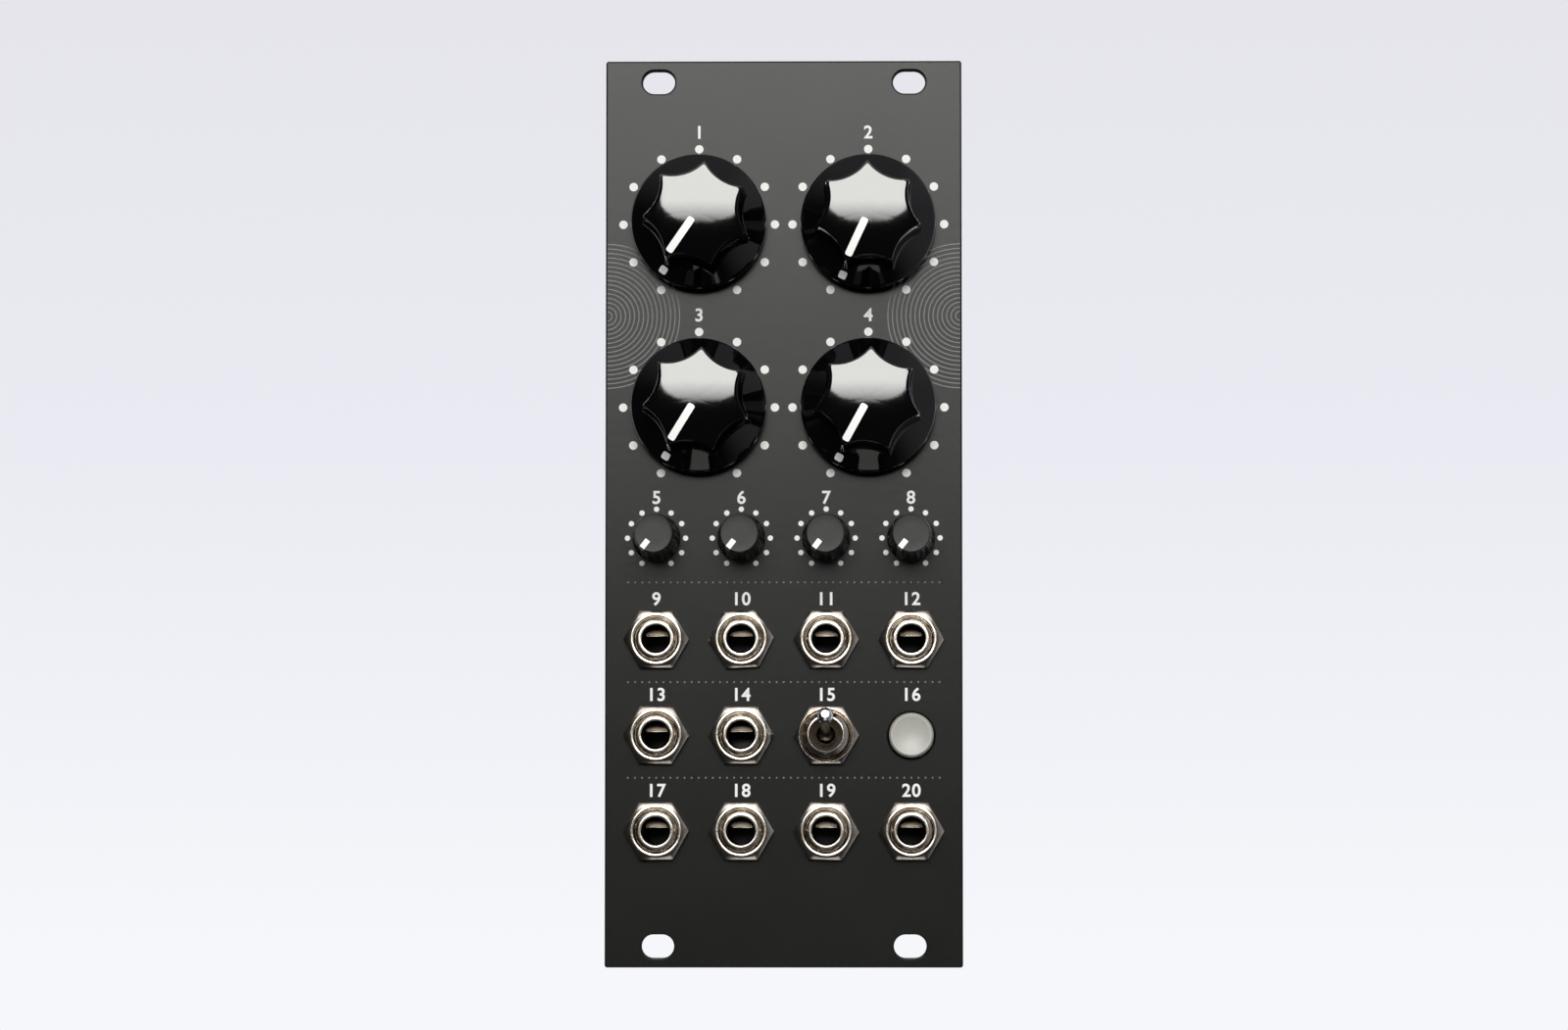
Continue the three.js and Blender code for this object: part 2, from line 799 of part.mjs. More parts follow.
add('control_board', boardSheet(control_board_depth), 'board');
add('main_board', mainBoard(), 'board');
for (const [side, way] of [['left', -1], ['right', 1]]) {
  const place = [way * (board_width / 2 - link_inset), board_foot + link_from_end];
  add(`link_socket_${side}`, linkSocket(), 'connector', place);
  add(`link_header_${side}`, linkHeader(), 'connector', place);
}
add('spacer_upper', spacer(), 'nylon', spacer_places[0]);
add('spacer_lower', spacer(), 'nylon', spacer_places[1]);
add('power_header', powerHeader(), 'connector');

export default rack_module;
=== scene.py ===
import json
import math
import bmesh
import bpy
from mathutils import Matrix, Vector


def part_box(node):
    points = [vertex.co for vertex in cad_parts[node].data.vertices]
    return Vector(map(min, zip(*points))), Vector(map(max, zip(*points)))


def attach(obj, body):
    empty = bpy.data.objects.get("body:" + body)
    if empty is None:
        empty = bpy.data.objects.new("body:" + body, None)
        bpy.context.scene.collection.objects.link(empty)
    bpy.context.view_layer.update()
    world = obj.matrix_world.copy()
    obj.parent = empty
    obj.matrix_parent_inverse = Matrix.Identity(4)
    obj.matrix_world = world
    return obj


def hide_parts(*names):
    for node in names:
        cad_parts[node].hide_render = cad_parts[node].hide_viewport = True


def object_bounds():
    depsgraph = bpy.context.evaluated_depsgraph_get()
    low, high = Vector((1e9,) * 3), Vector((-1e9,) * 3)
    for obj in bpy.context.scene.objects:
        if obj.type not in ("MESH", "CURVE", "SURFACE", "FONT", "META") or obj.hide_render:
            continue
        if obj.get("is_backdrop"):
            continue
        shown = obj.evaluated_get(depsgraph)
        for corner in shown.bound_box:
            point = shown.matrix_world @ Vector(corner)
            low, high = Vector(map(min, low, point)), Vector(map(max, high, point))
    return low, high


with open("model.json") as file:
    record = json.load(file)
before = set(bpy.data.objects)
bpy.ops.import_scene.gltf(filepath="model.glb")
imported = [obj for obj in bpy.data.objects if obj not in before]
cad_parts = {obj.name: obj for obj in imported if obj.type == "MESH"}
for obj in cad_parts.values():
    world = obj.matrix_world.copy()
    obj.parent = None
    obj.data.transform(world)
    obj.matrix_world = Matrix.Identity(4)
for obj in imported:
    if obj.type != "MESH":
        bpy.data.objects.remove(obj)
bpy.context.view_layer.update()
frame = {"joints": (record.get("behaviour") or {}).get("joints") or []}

# Front panel: 2 mm aluminium sheet, punched, its edges broken, powder coated in satin black.
# Its outline, mounting slots and control holes are one flat drawing that is given a thickness.
# All sizes in this script are millimetres, and a piece turns them to metres when it is made.
mm = 0.001
sharp_angle = math.radians(30)
scene = bpy.context.scene


def srgb(text):
    """A hex colour as linear red, green, blue and alpha."""
    channels = [int(text[i:i + 2], 16) / 255 for i in (1, 3, 5)]
    return [c / 12.92 if c <= 0.04045 else ((c + 0.055) / 1.055) ** 2.4 for c in channels] + [1]


def put(tree, node, inputs):
    """Fills a node's inputs: another node's output is linked, and anything else is a value."""
    for name, value in inputs.items():
        if isinstance(value, bpy.types.NodeSocket):
            tree.links.new(value, node.inputs[name])
        else:
            node.inputs[name].default_value = value


def add(tree, kind, inputs, **settings):
    """Adds a shader node with its settings, values and links. An input goes by its name, or by its number
    where several have the same name."""
    node = tree.nodes.new("ShaderNode" + kind)
    for name, value in settings.items():
        setattr(node, name, value)
    put(tree, node, inputs)
    return node


def finish(name, inputs):
    """A new material with these values on its shader: gives its tree, shader and object coordinates."""
    made = bpy.data.materials.new(name)
    made.use_nodes = True
    tree = made.node_tree
    shader = tree.nodes["Principled BSDF"]
    put(tree, shader, inputs)
    return tree, shader, add(tree, "TexCoord", {}).outputs["Object"]


def mottled(name, inputs, size, tones=None, gloss=None, dents=None, detail=3, harshness=0.5):
    """A new material whose tones, roughness or dents (strength, depth) follow a noise of a size in mm."""
    tree, shader, place = finish(name, inputs)
    noise = add(tree, "TexNoise", {"Vector": place, "Scale": 1 / (size * mm), "Detail": detail,
                                   "Roughness": harshness}).outputs[0]
    if tones:
        tone = add(tree, "Mix", {0: noise, 6: srgb(tones[0]), 7: srgb(tones[1])}, data_type="RGBA")
        put(tree, shader, {"Base Color": tone.outputs[2]})
    if gloss:
        rough = add(tree, "MapRange", {"Value": noise, "To Min": gloss[0], "To Max": gloss[1]})
        put(tree, shader, {"Roughness": rough.outputs[0]})
    if dents:
        bump = add(tree, "Bump", {"Height": noise, "Strength": dents[0], "Distance": dents[1] * mm})
        put(tree, shader, {"Normal": bump.outputs[0]})


def piece(name, shape, material, body="module", stands_for=()):
    """Makes an object of a shape, rides it on a body and hides the nodes it stands for."""
    bmesh.ops.recalc_face_normals(shape, faces=shape.faces)
    bmesh.ops.scale(shape, vec=(mm, mm, mm), verts=shape.verts)
    for face in shape.faces:
        face.smooth = True
    mesh = bpy.data.meshes.new(name)
    shape.to_mesh(mesh)
    shape.free()
    mesh.set_sharp_from_angle(angle=sharp_angle)
    mesh.materials.append(bpy.data.materials[material])
    made = bpy.data.objects.new(name, mesh)
    scene.collection.objects.link(made)
    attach(made, body)
    if stands_for:
        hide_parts(*stands_for)
    return made


def corners_of(node):
    """The lowest and highest corner of a node's box, in millimetres."""
    low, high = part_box(node)
    return low / mm, high / mm


def middle(node):
    """The middle of a node's box, in millimetres."""
    low, high = corners_of(node)
    return (low + high) / 2


def arc(x, z, radius, start, end, steps):
    """Points round (x, z) from start to end degrees, anticlockwise."""
    angles = [math.radians(start + (end - start) * i / steps) for i in range(steps + 1)]
    return [(x + radius * math.cos(a), z + radius * math.sin(a)) for a in angles]


def circle(at, radius, steps):
    """Points round a place on the panel."""
    return arc(at.x, at.z, radius, 0, 360, steps)[:-1]


def rectangle(low, high, shrink=0.0, about=Vector()):
    """The four corners of a box seen from the front, drawn in a little towards a point."""
    loop = [(low.x, low.z), (high.x, low.z), (high.x, high.z), (low.x, high.z)]
    return [(x + (about.x - x) * shrink, z + (about.z - z) * shrink) for x, z in loop]


def sheet(loops, thickness, back, edge):
    """A flat sheet that faces -Y, from an outline and its holes, with rounded edges."""
    curve = bpy.data.curves.new("drawing", "CURVE")
    curve.dimensions = "2D"
    curve.fill_mode = "BOTH"
    curve.extrude = thickness / 2 - edge
    curve.bevel_depth = edge
    curve.bevel_resolution = 2
    curve.offset = -edge
    for loop in loops:
        spline = curve.splines.new("POLY")
        spline.points.add(len(loop) - 1)
        for point, (x, z) in zip(spline.points, loop):
            point.co = (x, z, 0, 1)
        spline.use_cyclic_u = True
    drawing = bpy.data.objects.new("drawing", curve)
    scene.collection.objects.link(drawing)
    graph = bpy.context.evaluated_depsgraph_get()
    mesh = bpy.data.meshes.new_from_object(drawing.evaluated_get(graph))
    bpy.data.objects.remove(drawing)
    shape = bmesh.new()
    shape.from_mesh(mesh)
    bmesh.ops.remove_doubles(shape, verts=shape.verts, dist=1e-4)
    stand = Matrix.Translation((0, back - thickness / 2, 0)) @ Matrix.Rotation(math.pi / 2, 4, "X")
    bmesh.ops.transform(shape, matrix=stand, verts=shape.verts)
    return shape


panel_low, panel_high = corners_of("front_panel")
panel_front = panel_low.y
panel_thickness = panel_high.y - panel_low.y
panel_edge = 0.22
panel_corner = 0.35
slot_heights = (0, 122.5)
slot_columns = (-17.75, 17.81)
slot_radius = 1.65
slot_reach = 0.65
turned_place = {joint["child"]: Vector(joint["pos_m"]) / mm for joint in frame["joints"] if "pos_m" in joint}
large_places = [turned_place[f"large_knob_{i}"] for i in range(1, 5)]
small_places = [turned_place[f"small_knob_{i}"] for i in range(1, 5)]
jack_places = [middle(f"jack_nut_{i}") for i in range(1, 11)]
toggle_pivot = turned_place["toggle_lever"]
button_place = middle("button_cap")
large_hole = 3.65
small_hole = 3.2
jack_hole = 3.15
toggle_hole = 3.3
button_hole = 3.27

corners = [(panel_high.x, panel_high.z, 0), (panel_low.x, panel_high.z, 90),
           (panel_low.x, panel_low.z, 180), (panel_high.x, panel_low.z, 270)]
outline = []
for x, z, start in corners:
    inward_x = x - math.copysign(panel_corner, x)
    inward_z = z - panel_corner if z > 0 else z + panel_corner
    outline += arc(inward_x, inward_z, panel_corner, start, start + 90, 4)
openings = []
for x in slot_columns:
    for z in slot_heights:
        openings.append(arc(x + slot_reach, z, slot_radius, -90, 90, 16)
                        + arc(x - slot_reach, z, slot_radius, 90, 270, 16))
for places, radius in ((large_places, large_hole), (small_places, small_hole), (jack_places, jack_hole),
                       ([toggle_pivot], toggle_hole), ([button_place], button_hole)):
    openings += [circle(at, radius, steps=48) for at in places]

grain_size = 0.13
peel_size = 1.1
patch_size = 9
# Powder coat, sprayed dry and baked: a satin black that greys towards the light, a faint orange peel, and
# a powder grain that is finer in truth and is drawn as coarse as it needs to show.
tree, shader, place = finish("satin_powder_coat", {"Specular IOR Level": 0.165})
grain = add(tree, "TexNoise", {"Vector": place, "Scale": 1 / (grain_size * mm), "Detail": 2})
peel = add(tree, "TexNoise", {"Vector": place, "Scale": 1 / (peel_size * mm), "Detail": 1})
patches = add(tree, "TexNoise", {"Vector": place, "Scale": 1 / (patch_size * mm), "Detail": 4})
tone = add(tree, "Mix", {0: grain.outputs[0], 6: srgb("#0f0f0f"), 7: srgb("#171716")}, data_type="RGBA")
rough = add(tree, "MapRange", {"Value": patches.outputs[0], "To Min": 0.18, "To Max": 0.22})
fine = add(tree, "Bump", {"Height": grain.outputs[0], "Strength": 1, "Distance": 0.003 * mm})
wavy = add(tree, "Bump", {"Height": peel.outputs[0], "Strength": 1, "Distance": 0.004 * mm,
                          "Normal": fine.outputs[0]})
put(tree, shader, {"Base Color": tone.outputs[2], "Roughness": rough.outputs[0], "Normal": wavy.outputs[0]})

# The same coat on the broken edges and the walls of the holes: its colour is painted darker as painted shade,
# and it has no gloss.
mottled("thin_powder_coat", {"Specular IOR Level": 0.05, "Roughness": 0.7}, size=grain_size,
        tones=("#0b0b0b", "#141413"), detail=2)

panel = piece("panel_sheet", sheet([outline] + openings, panel_thickness, panel_high.y, panel_edge),
              "satin_powder_coat", stands_for=["front_panel"])
panel.data.materials.append(bpy.data.materials["thin_powder_coat"])
# Faces that don't face front or back take the darker edge coat, whose colour is painted shade.
for face in panel.data.polygons:
    face.use_smooth = abs(face.normal.y) < 0.999
    face.material_index = int(abs(face.normal.y) < 0.6)


# Panel print: thick white epoxy ink, screen printed through a mesh, so that it stands just proud.
# Dots mark each knob's scale, plain numbers name the controls, and a faint grey pattern fills in.
# The numbers and the pattern are generic ones of this script's own.
ink = 0.03
grey_ink = 0.015
ink_back = panel_front + 0.01
dots_per_scale = 11
dot_step = 30
large_scale_radius = 10.75
large_dot = 0.6
small_scale_radius = 4.11
small_dot = 0.38
number_height = 1.78
number_size = number_height / 0.7
large_number_rise = 13.2
small_number_rise = 5.8
ripple_pitch = 0.64
ripple_count = 16
ripple_width = 0.13
ripple_column = 25
ripple_height = 89.1
rule_heights = (51.3, 37.2, 23.7)
rule_dot = 0.12
rule_pitch = 1
rule_reach = 22.5

# Screen ink, cured: a clean white with hardly any gloss, a little uneven from the mesh.
mottled("white_epoxy_ink", {"Roughness": 0.5, "Specular IOR Level": 0.3}, size=0.4,
        tones=("#dededc", "#ebebe8"))
# The same ink, thinned to grey: it only shows where it is looked for.
mottled("grey_epoxy_ink", {"Roughness": 0.5, "Specular IOR Level": 0.3}, size=0.5,
        tones=("#6c6e6e", "#8a8c8c"))


def inked(shape, rise):
    """Gives flat faces on the panel their ink's thickness."""
    raised = bmesh.ops.extrude_face_region(shape, geom=shape.faces[:], use_keep_orig=True)["geom"]
    lifted = [part for part in raised if isinstance(part, bmesh.types.BMVert)]
    bmesh.ops.translate(shape, vec=(0, panel_front - rise - ink_back, 0), verts=lifted)
    return shape


def printed_dots(places, radius, sides, rise=ink):
    """Round dots of ink at (x, z) places."""
    shape = bmesh.new()
    for x, z in places:
        flat = Matrix.Translation((x, ink_back, z)) @ Matrix.Rotation(math.pi / 2, 4, "X")
        bmesh.ops.create_circle(shape, cap_ends=True, segments=sides, radius=radius, matrix=flat)
    return inked(shape, rise)


def printed_ripple(side, radius):
    """A half circle of fine line, whose middle is at the panel's left or right edge."""
    shape = bmesh.new()
    bmesh.ops.create_grid(shape, x_segments=64, y_segments=1, size=0.5)
    for vert in shape.verts:
        angle = math.pi * vert.co.x
        reach = radius + vert.co.y * ripple_width
        vert.co = (side * (ripple_column - reach * math.cos(angle)), ink_back,
                   ripple_height + reach * math.sin(angle))
    return inked(shape, grey_ink)


def joined(shapes):
    """One shape of several."""
    whole = bmesh.new()
    for shape in shapes:
        mesh = bpy.data.meshes.new("part")
        shape.to_mesh(mesh)
        shape.free()
        whole.from_mesh(mesh)
        bpy.data.meshes.remove(mesh)
    return whole


def scale_places(places, radius):
    """Where the dots of a scale lie round each knob."""
    turns = [math.radians(dot_step * (i - dots_per_scale // 2)) for i in range(dots_per_scale)]
    return [(at.x + radius * math.sin(turn), at.z + radius * math.cos(turn))
            for at in places for turn in turns]


def printed_number(number, x, z):
    """A plain number with its middle at (x, z)."""
    words = bpy.data.curves.new("number", "FONT")
    words.body = str(number)
    words.size = number_size
    words.align_x = "CENTER"
    words.extrude = ink / 2
    words.offset = 0.055
    words.space_character = 1.1
    maker = bpy.data.objects.new("number", words)
    scene.collection.objects.link(maker)
    mesh = bpy.data.meshes.new_from_object(maker.evaluated_get(bpy.context.evaluated_depsgraph_get()))
    bpy.data.objects.remove(maker)
    shape = bmesh.new()
    shape.from_mesh(mesh)
    bmesh.ops.remove_doubles(shape, verts=shape.verts, dist=1e-4)
    stand = Matrix.Translation((x, panel_front - ink / 2, z - number_height / 2))
    bmesh.ops.transform(shape, matrix=stand @ Matrix.Rotation(math.pi / 2, 4, "X"), verts=shape.verts)
    return shape


scales = [printed_dots(scale_places(large_places, large_scale_radius), large_dot, 28),
          printed_dots(scale_places(small_places, small_scale_radius), small_dot, 20)]
piece("printed_scales", joined(scales), "white_epoxy_ink")
numbered = [(at, large_number_rise) for at in large_places] + [(at, small_number_rise) for at in small_places]
second_row = jack_places[4:6] + [toggle_pivot, button_place]
numbered += [(at, small_number_rise) for at in jack_places[:4] + second_row + jack_places[6:]]
numbers = [printed_number(i + 1, at.x, at.z + rise) for i, (at, rise) in enumerate(numbered)]
piece("printed_numbers", joined(numbers), "white_epoxy_ink")
rule_steps = int(rule_reach / rule_pitch)
rule_places = [(i * rule_pitch, z) for z in rule_heights for i in range(-rule_steps, rule_steps + 1)]
pattern = [printed_ripple(side, ripple_pitch * (step + 1))
           for side in (-1, 1) for step in range(ripple_count)]
pattern.append(printed_dots(rule_places, rule_dot, 8, grey_ink))
piece("printed_pattern", joined(pattern), "grey_epoxy_ink")


# Large potentiometers: a folded metal cover with a threaded bushing, on a phenolic wafer whose pins are
# soldered to the board. A hexagon nut holds it to the panel, and the turning shaft has a flat.
cut_steps = 3
thread_pitch = 0.5
thread_depth = 0.2
thread_run_in = 0.16
shaft_radius = 2.99
shaft_flat = 1.6
cover_front = 3.2
cover_depth = 4.4
wafer_depth = 1.1
board_front = 10
pin_pitch = 2.5
board_pins = []


def rounded(profile):
    """A profile's points from corners (radius, depth, cut): each cut corner is drawn as a curve."""
    points = []
    for i, (radius, depth, cut) in enumerate(profile):
        here = Vector((radius, depth))
        if cut == 0:
            points.append(here)
            continue
        before = Vector(profile[i - 1][:2])
        after = Vector(profile[(i + 1) % len(profile)][:2])
        start = here + (before - here).normalized() * cut
        end = here + (after - here).normalized() * cut
        for step in range(cut_steps + 1):
            share = step / cut_steps
            points.append(start.lerp(here, share).lerp(here.lerp(end, share), share))
    return points


def turned(profile, closed=False, steps=64):
    """Turns a profile round the Y axis, as on a lathe. A closed profile makes a ring."""
    shape = bmesh.new()
    dots = [shape.verts.new((point.x, point.y, 0)) for point in rounded(profile)]
    pairs = list(zip(dots, dots[1:]))
    if closed:
        pairs.append((dots[-1], dots[0]))
    lines = [shape.edges.new(pair) for pair in pairs]
    bmesh.ops.spin(shape, geom=dots + lines, cent=(0, 0, 0), axis=(0, 1, 0), angle=math.tau, steps=steps,
                   use_merge=True)
    bmesh.ops.remove_doubles(shape, verts=shape.verts, dist=1e-4)
    return shape


def skinned(rings, sides, closed=False):
    """A skin over rings, each a rule that gives (radius, depth) at an angle clockwise from the top."""
    shape = bmesh.new()
    start = Matrix.Rotation(math.pi / 2, 4, "X")
    bmesh.ops.create_circle(shape, segments=sides, radius=1, matrix=start)
    verts, edges = shape.verts[:], shape.edges[:]
    first = edges
    for i, ring in enumerate(rings):
        if i > 0:
            grown = bmesh.ops.extrude_edge_only(shape, edges=edges)["geom"]
            verts = [part for part in grown if isinstance(part, bmesh.types.BMVert)]
            edges = [part for part in grown if isinstance(part, bmesh.types.BMEdge)]
        for vert in verts:
            angle = math.atan2(vert.co.x, vert.co.z)
            radius, depth = ring(angle)
            vert.co = (radius * math.sin(angle), depth, radius * math.cos(angle))
    if closed:
        bmesh.ops.bridge_loops(shape, edges=first + edges)
    else:
        bmesh.ops.contextual_create(shape, geom=first)
        bmesh.ops.contextual_create(shape, geom=edges)
    return shape


def barrel(mouth, radius, back):
    """A threaded tube: its mouth's profile from the bore to the outside, then threads that run in to size."""
    profile = list(mouth)
    crest, depth = mouth[-1][0], mouth[-1][1] + 0.1
    while depth < back - thread_pitch:
        crest = min(crest + thread_run_in, radius)
        root = crest - thread_depth
        profile += [(root, depth, 0), (crest, depth + thread_pitch * 0.4, 0.02),
                    (crest, depth + thread_pitch * 0.6, 0.02), (root, depth + thread_pitch * 0.95, 0)]
        depth += thread_pitch
    profile += [(radius, depth, 0), (radius, back, 0), (mouth[0][0], back, 0)]
    return turned(profile, closed=True)


def block(low, high, edge=0):
    """A block between two corners, sharp or with its edges broken."""
    shape = bmesh.new()
    bmesh.ops.create_cube(shape, size=1)
    low, high = Vector(low), Vector(high)
    for vert in shape.verts:
        vert.co = (low + high) / 2 + Vector(a * b for a, b in zip(vert.co, high - low))
    if edge > 0:
        bmesh.ops.bevel(shape, geom=shape.edges[:], affect="EDGES", offset=edge, segments=2, profile=0.5,
                        material=-1)
    return shape


def nut(flats, thickness, chamfer_radius, hole_radius, dish=0.0):
    """A hexagon nut on the panel, its corners turned off by a shallow cone, its face flat or dished."""
    slope = 0.42
    half_sector = math.pi / 6
    face = panel_front - thickness

    def hexagon(angle):
        return flats / 2 / math.cos((angle + half_sector) % (2 * half_sector) - half_sector)

    rings = [
        lambda angle: (hole_radius, face + 0.12 + dish),
        lambda angle: (hole_radius + 0.08, face + dish),
        lambda angle: (chamfer_radius - 0.14, face + dish * 0.55),
        lambda angle: (chamfer_radius, face),
        lambda angle: (hexagon(angle), face + (hexagon(angle) - chamfer_radius) * slope),
        lambda angle: (hexagon(angle), panel_front - 0.15),
        lambda angle: (hexagon(angle) - 0.15, panel_front),
        lambda angle: (hole_radius, panel_front),
    ]
    shape = skinned(rings, sides=96, closed=True)
    bmesh.ops.recalc_face_normals(shape, faces=shape.faces)
    worn = [edge for edge in shape.edges if edge.calc_face_angle(0) > math.radians(25)]
    bmesh.ops.bevel(shape, geom=worn, affect="EDGES", offset=0.05, segments=2, profile=0.5, material=-1)
    return shape


def put_at(shape, at, turn=0):
    """Turns a shape clockwise about its own axis and moves it to a place on the panel."""
    move = Matrix.Translation((at.x, 0, at.z)) @ Matrix.Rotation(math.radians(turn), 4, "Y")
    bmesh.ops.transform(shape, matrix=move, verts=shape.verts)
    return shape


# Bright nickel over turned brass: a warm mirror with brownish stains, dulled by fine scratches.
tree, shader, place = finish("nickel_plated_brass", {"Metallic": 1})
scratch = add(tree, "TexNoise", {"Vector": place, "Scale": 1 / (0.25 * mm), "Detail": 5, "Roughness": 0.7})
stain = add(tree, "TexNoise", {"Vector": place, "Scale": 1 / (1.6 * mm), "Detail": 4, "Roughness": 0.65})
ramp = add(tree, "ValToRGB", {"Fac": stain.outputs[0]})
ramp.color_ramp.elements[0].position = 0.3
ramp.color_ramp.elements[0].color = srgb("#a99c8d")
ramp.color_ramp.elements[1].position = 0.62
ramp.color_ramp.elements[1].color = srgb("#dad2c8")
rough = add(tree, "MapRange", {"Value": scratch.outputs[0], "To Min": 0.1, "To Max": 0.24})
dents = add(tree, "Bump", {"Height": scratch.outputs[0], "Strength": 0.6, "Distance": 0.002 * mm})
put(tree, shader, {"Base Color": ramp.outputs[0], "Roughness": rough.outputs[0], "Normal": dents.outputs[0]})

# Paper and resin, pressed and punched: dull dark green, with a faint mottle of fibres.
mottled("green_phenolic", {"Roughness": 0.55}, size=0.5, tones=("#2b4936", "#37573f"), detail=4)

# Glass-filled nylon, moulded: matt black with shallow pores.
mottled("black_moulded_nylon", {"Roughness": 0.6, "Specular IOR Level": 0.25}, size=0.4,
        tones=("#0d0d0f", "#17171a"), dents=(0.4, 0.01))

# Dull tin over steel sheet: a plain grey metal, half matt in patches.
mottled("tin_plated_steel", {"Metallic": 1, "Base Color": srgb("#b9bab8")}, size=0.5, gloss=(0.28, 0.42))


def pins(name, places, start):
    """A part's flat tinned pins, that run into the board behind it, where they are soldered."""
    board_pins.extend(places)
    shapes = [block((x - 0.35, start, z - 0.15), (x + 0.35, board_front + 0.8, z + 0.15))
              for x, z in places]
    piece(name, joined(shapes), "tin_plated_steel")


def shaft_ring(depth, inset=0.0):
    """A ring of the shaft, with its flat at the top."""
    def ring(angle):
        radius = shaft_radius - inset
        if math.cos(angle) > 0:
            radius = min(radius, shaft_flat / math.cos(angle))
        return radius, depth
    return ring


def pot_bushing():
    """The bushing, threaded for the nut."""
    mouth = [(3.05, 4, 0), (3.05, -5, 0), (3.12, -5.15, 0.05), (3.3, -5.15, 0.05)]
    return barrel(mouth, radius=3.5, back=cover_front)


def pot_cover(at, low, high):
    """The folded cover with its four tabs, bent over the wafer's corners."""
    back = cover_front + cover_depth
    folded = block((low.x, cover_front, low.z + 0.6), (high.x, back, high.z - 0.6), edge=0.45)
    shapes = [folded, put_at(pot_bushing(), at)]
    for x in (low.x + 0.02, high.x - 0.32):
        for z in (at.z - 3.2, at.z + 1.8):
            shapes.append(block((x, back - 0.6, z), (x + 0.3, back + wafer_depth + 0.4, z + 1.4), edge=0.08))
    return joined(shapes)


for i, at in enumerate(large_places, 1):
    low, high = corners_of(f"pot_body_{i}")
    wafer_front = cover_front + cover_depth
    wafer_back = wafer_front + wafer_depth
    wafer = block((low.x + 0.35, wafer_front, low.z), (high.x - 0.35, wafer_back, high.z - 0.4), edge=0.12)
    foot = block((low.x + 0.6, wafer_back, low.z + 0.9), (high.x - 0.6, board_front, high.z - 0.9), edge=0.2)
    piece(f"pot_cover_{i}", pot_cover(at, low, high), "nickel_plated_brass",
          stands_for=[f"pot_body_{i}"])
    piece(f"pot_wafer_{i}", wafer, "green_phenolic")
    piece(f"pot_foot_{i}", foot, "black_moulded_nylon")
    pins(f"pot_pins_{i}", [(at.x + step * pin_pitch, low.z + 0.35) for step in (-1, 0, 1)], wafer_front)
    ring_nut = nut(flats=10, thickness=2, chamfer_radius=4.7, hole_radius=3.56)
    piece(f"pot_ring_nut_{i}", put_at(ring_nut, at), "nickel_plated_brass",
          stands_for=[f"pot_nut_{i}"])
    shaft = skinned([shaft_ring(4.5), shaft_ring(-13.4), shaft_ring(-13.9, inset=0.5)], sides=48)
    piece(f"pot_spindle_{i}", put_at(shaft, at), "nickel_plated_brass",
          body=f"large_knob_{i}", stands_for=[f"pot_shaft_{i}"])


# Large knobs: moulded glossy black phenolic, a skirt with a fluted grip on it, both slightly drafted.
# A groove across the top and a mark on the skirt are filled with white enamel, to show the setting.
knob_foot = panel_front - 2
knob_top = knob_foot - 12.4
skirt_radius = 9.55
skirt_top = knob_foot - 2.42
cusp_radius = 7.6
flute_radius = 6.2
flutes = 7
cusp_hardness = 4.5
knob_draft = 0.04
knob_dome = 0.65
grip_edge = 0.17
skirt_slope = 0.56
pointer_turns = (-145, -155, -148, -151)
half_flute = math.pi / flutes
flute_centre = (cusp_radius * math.cos(half_flute)
                + math.sqrt(flute_radius ** 2 - (cusp_radius * math.sin(half_flute)) ** 2))


def flute_reach(turn):
    """From the knob's axis to one flute's arc, at an angle from the flute's middle."""
    return flute_centre * math.cos(turn) - math.sqrt(
        max(flute_radius ** 2 - (flute_centre * math.sin(turn)) ** 2, 0))


def grip_radius(angle):
    """The fluted outline, with the cusp between two flutes blunted."""
    turn = abs(angle % (2 * half_flute) - half_flute)
    near, far = flute_reach(turn), flute_reach(2 * half_flute - turn)
    return -math.log(math.exp(-cusp_hardness * near) + math.exp(-cusp_hardness * far)) / cusp_hardness


def dome_depth(radius):
    """Depth of the grip's slightly domed top."""
    return knob_top - knob_dome * (1 - (radius / cusp_radius) ** 2)


def skirt_depth(radius):
    """Depth of the skirt's slightly sloping upper face."""
    return skirt_top - (skirt_radius - radius) * skirt_slope


def grip_ring(inset, drop, spread=1.0):
    """A ring near the grip's top: in from its outline, and below its dome."""
    def ring(angle):
        radius = (grip_radius(angle) - inset) * spread
        return radius, dome_depth(radius) + drop
    return ring


def foot_ring(flare, lift):
    """A ring near the grip's foot, where it runs out to the skirt."""
    def ring(angle):
        radius = grip_radius(angle) * (1 + knob_draft)
        return radius + flare, skirt_depth(radius + flare) - lift
    return ring


def grip():
    """The fluted grip, from its foot inside the skirt to the dome."""
    rings = [foot_ring(0.3, -0.5), foot_ring(0.3, 0), foot_ring(0.1, 0.08), foot_ring(0, 0.3)]
    for step in range(4):
        angle = math.pi / 2 * step / 3
        rings.append(grip_ring(grip_edge * (1 - math.cos(angle)), grip_edge * (1 - math.sin(angle))))
    rings += [grip_ring(grip_edge, 0, spread) for spread in (0.94, 0.84, 0.7, 0.54, 0.38, 0.22, 0.08)]
    return skinned(rings, sides=flutes * 24)


def skirt():
    """The skirt, hollow underneath."""
    inside, ceiling = skirt_radius - 1.1, knob_foot - 1.7
    profile = [(inside, knob_foot, 0.1), (skirt_radius, knob_foot, 0.12), (skirt_radius, skirt_top, 0.45),
               (5, skirt_depth(5), 0), (5, knob_foot - 3, 0), (7, ceiling, 0), (inside, ceiling, 0.2)]
    return turned(profile, closed=True, steps=96)


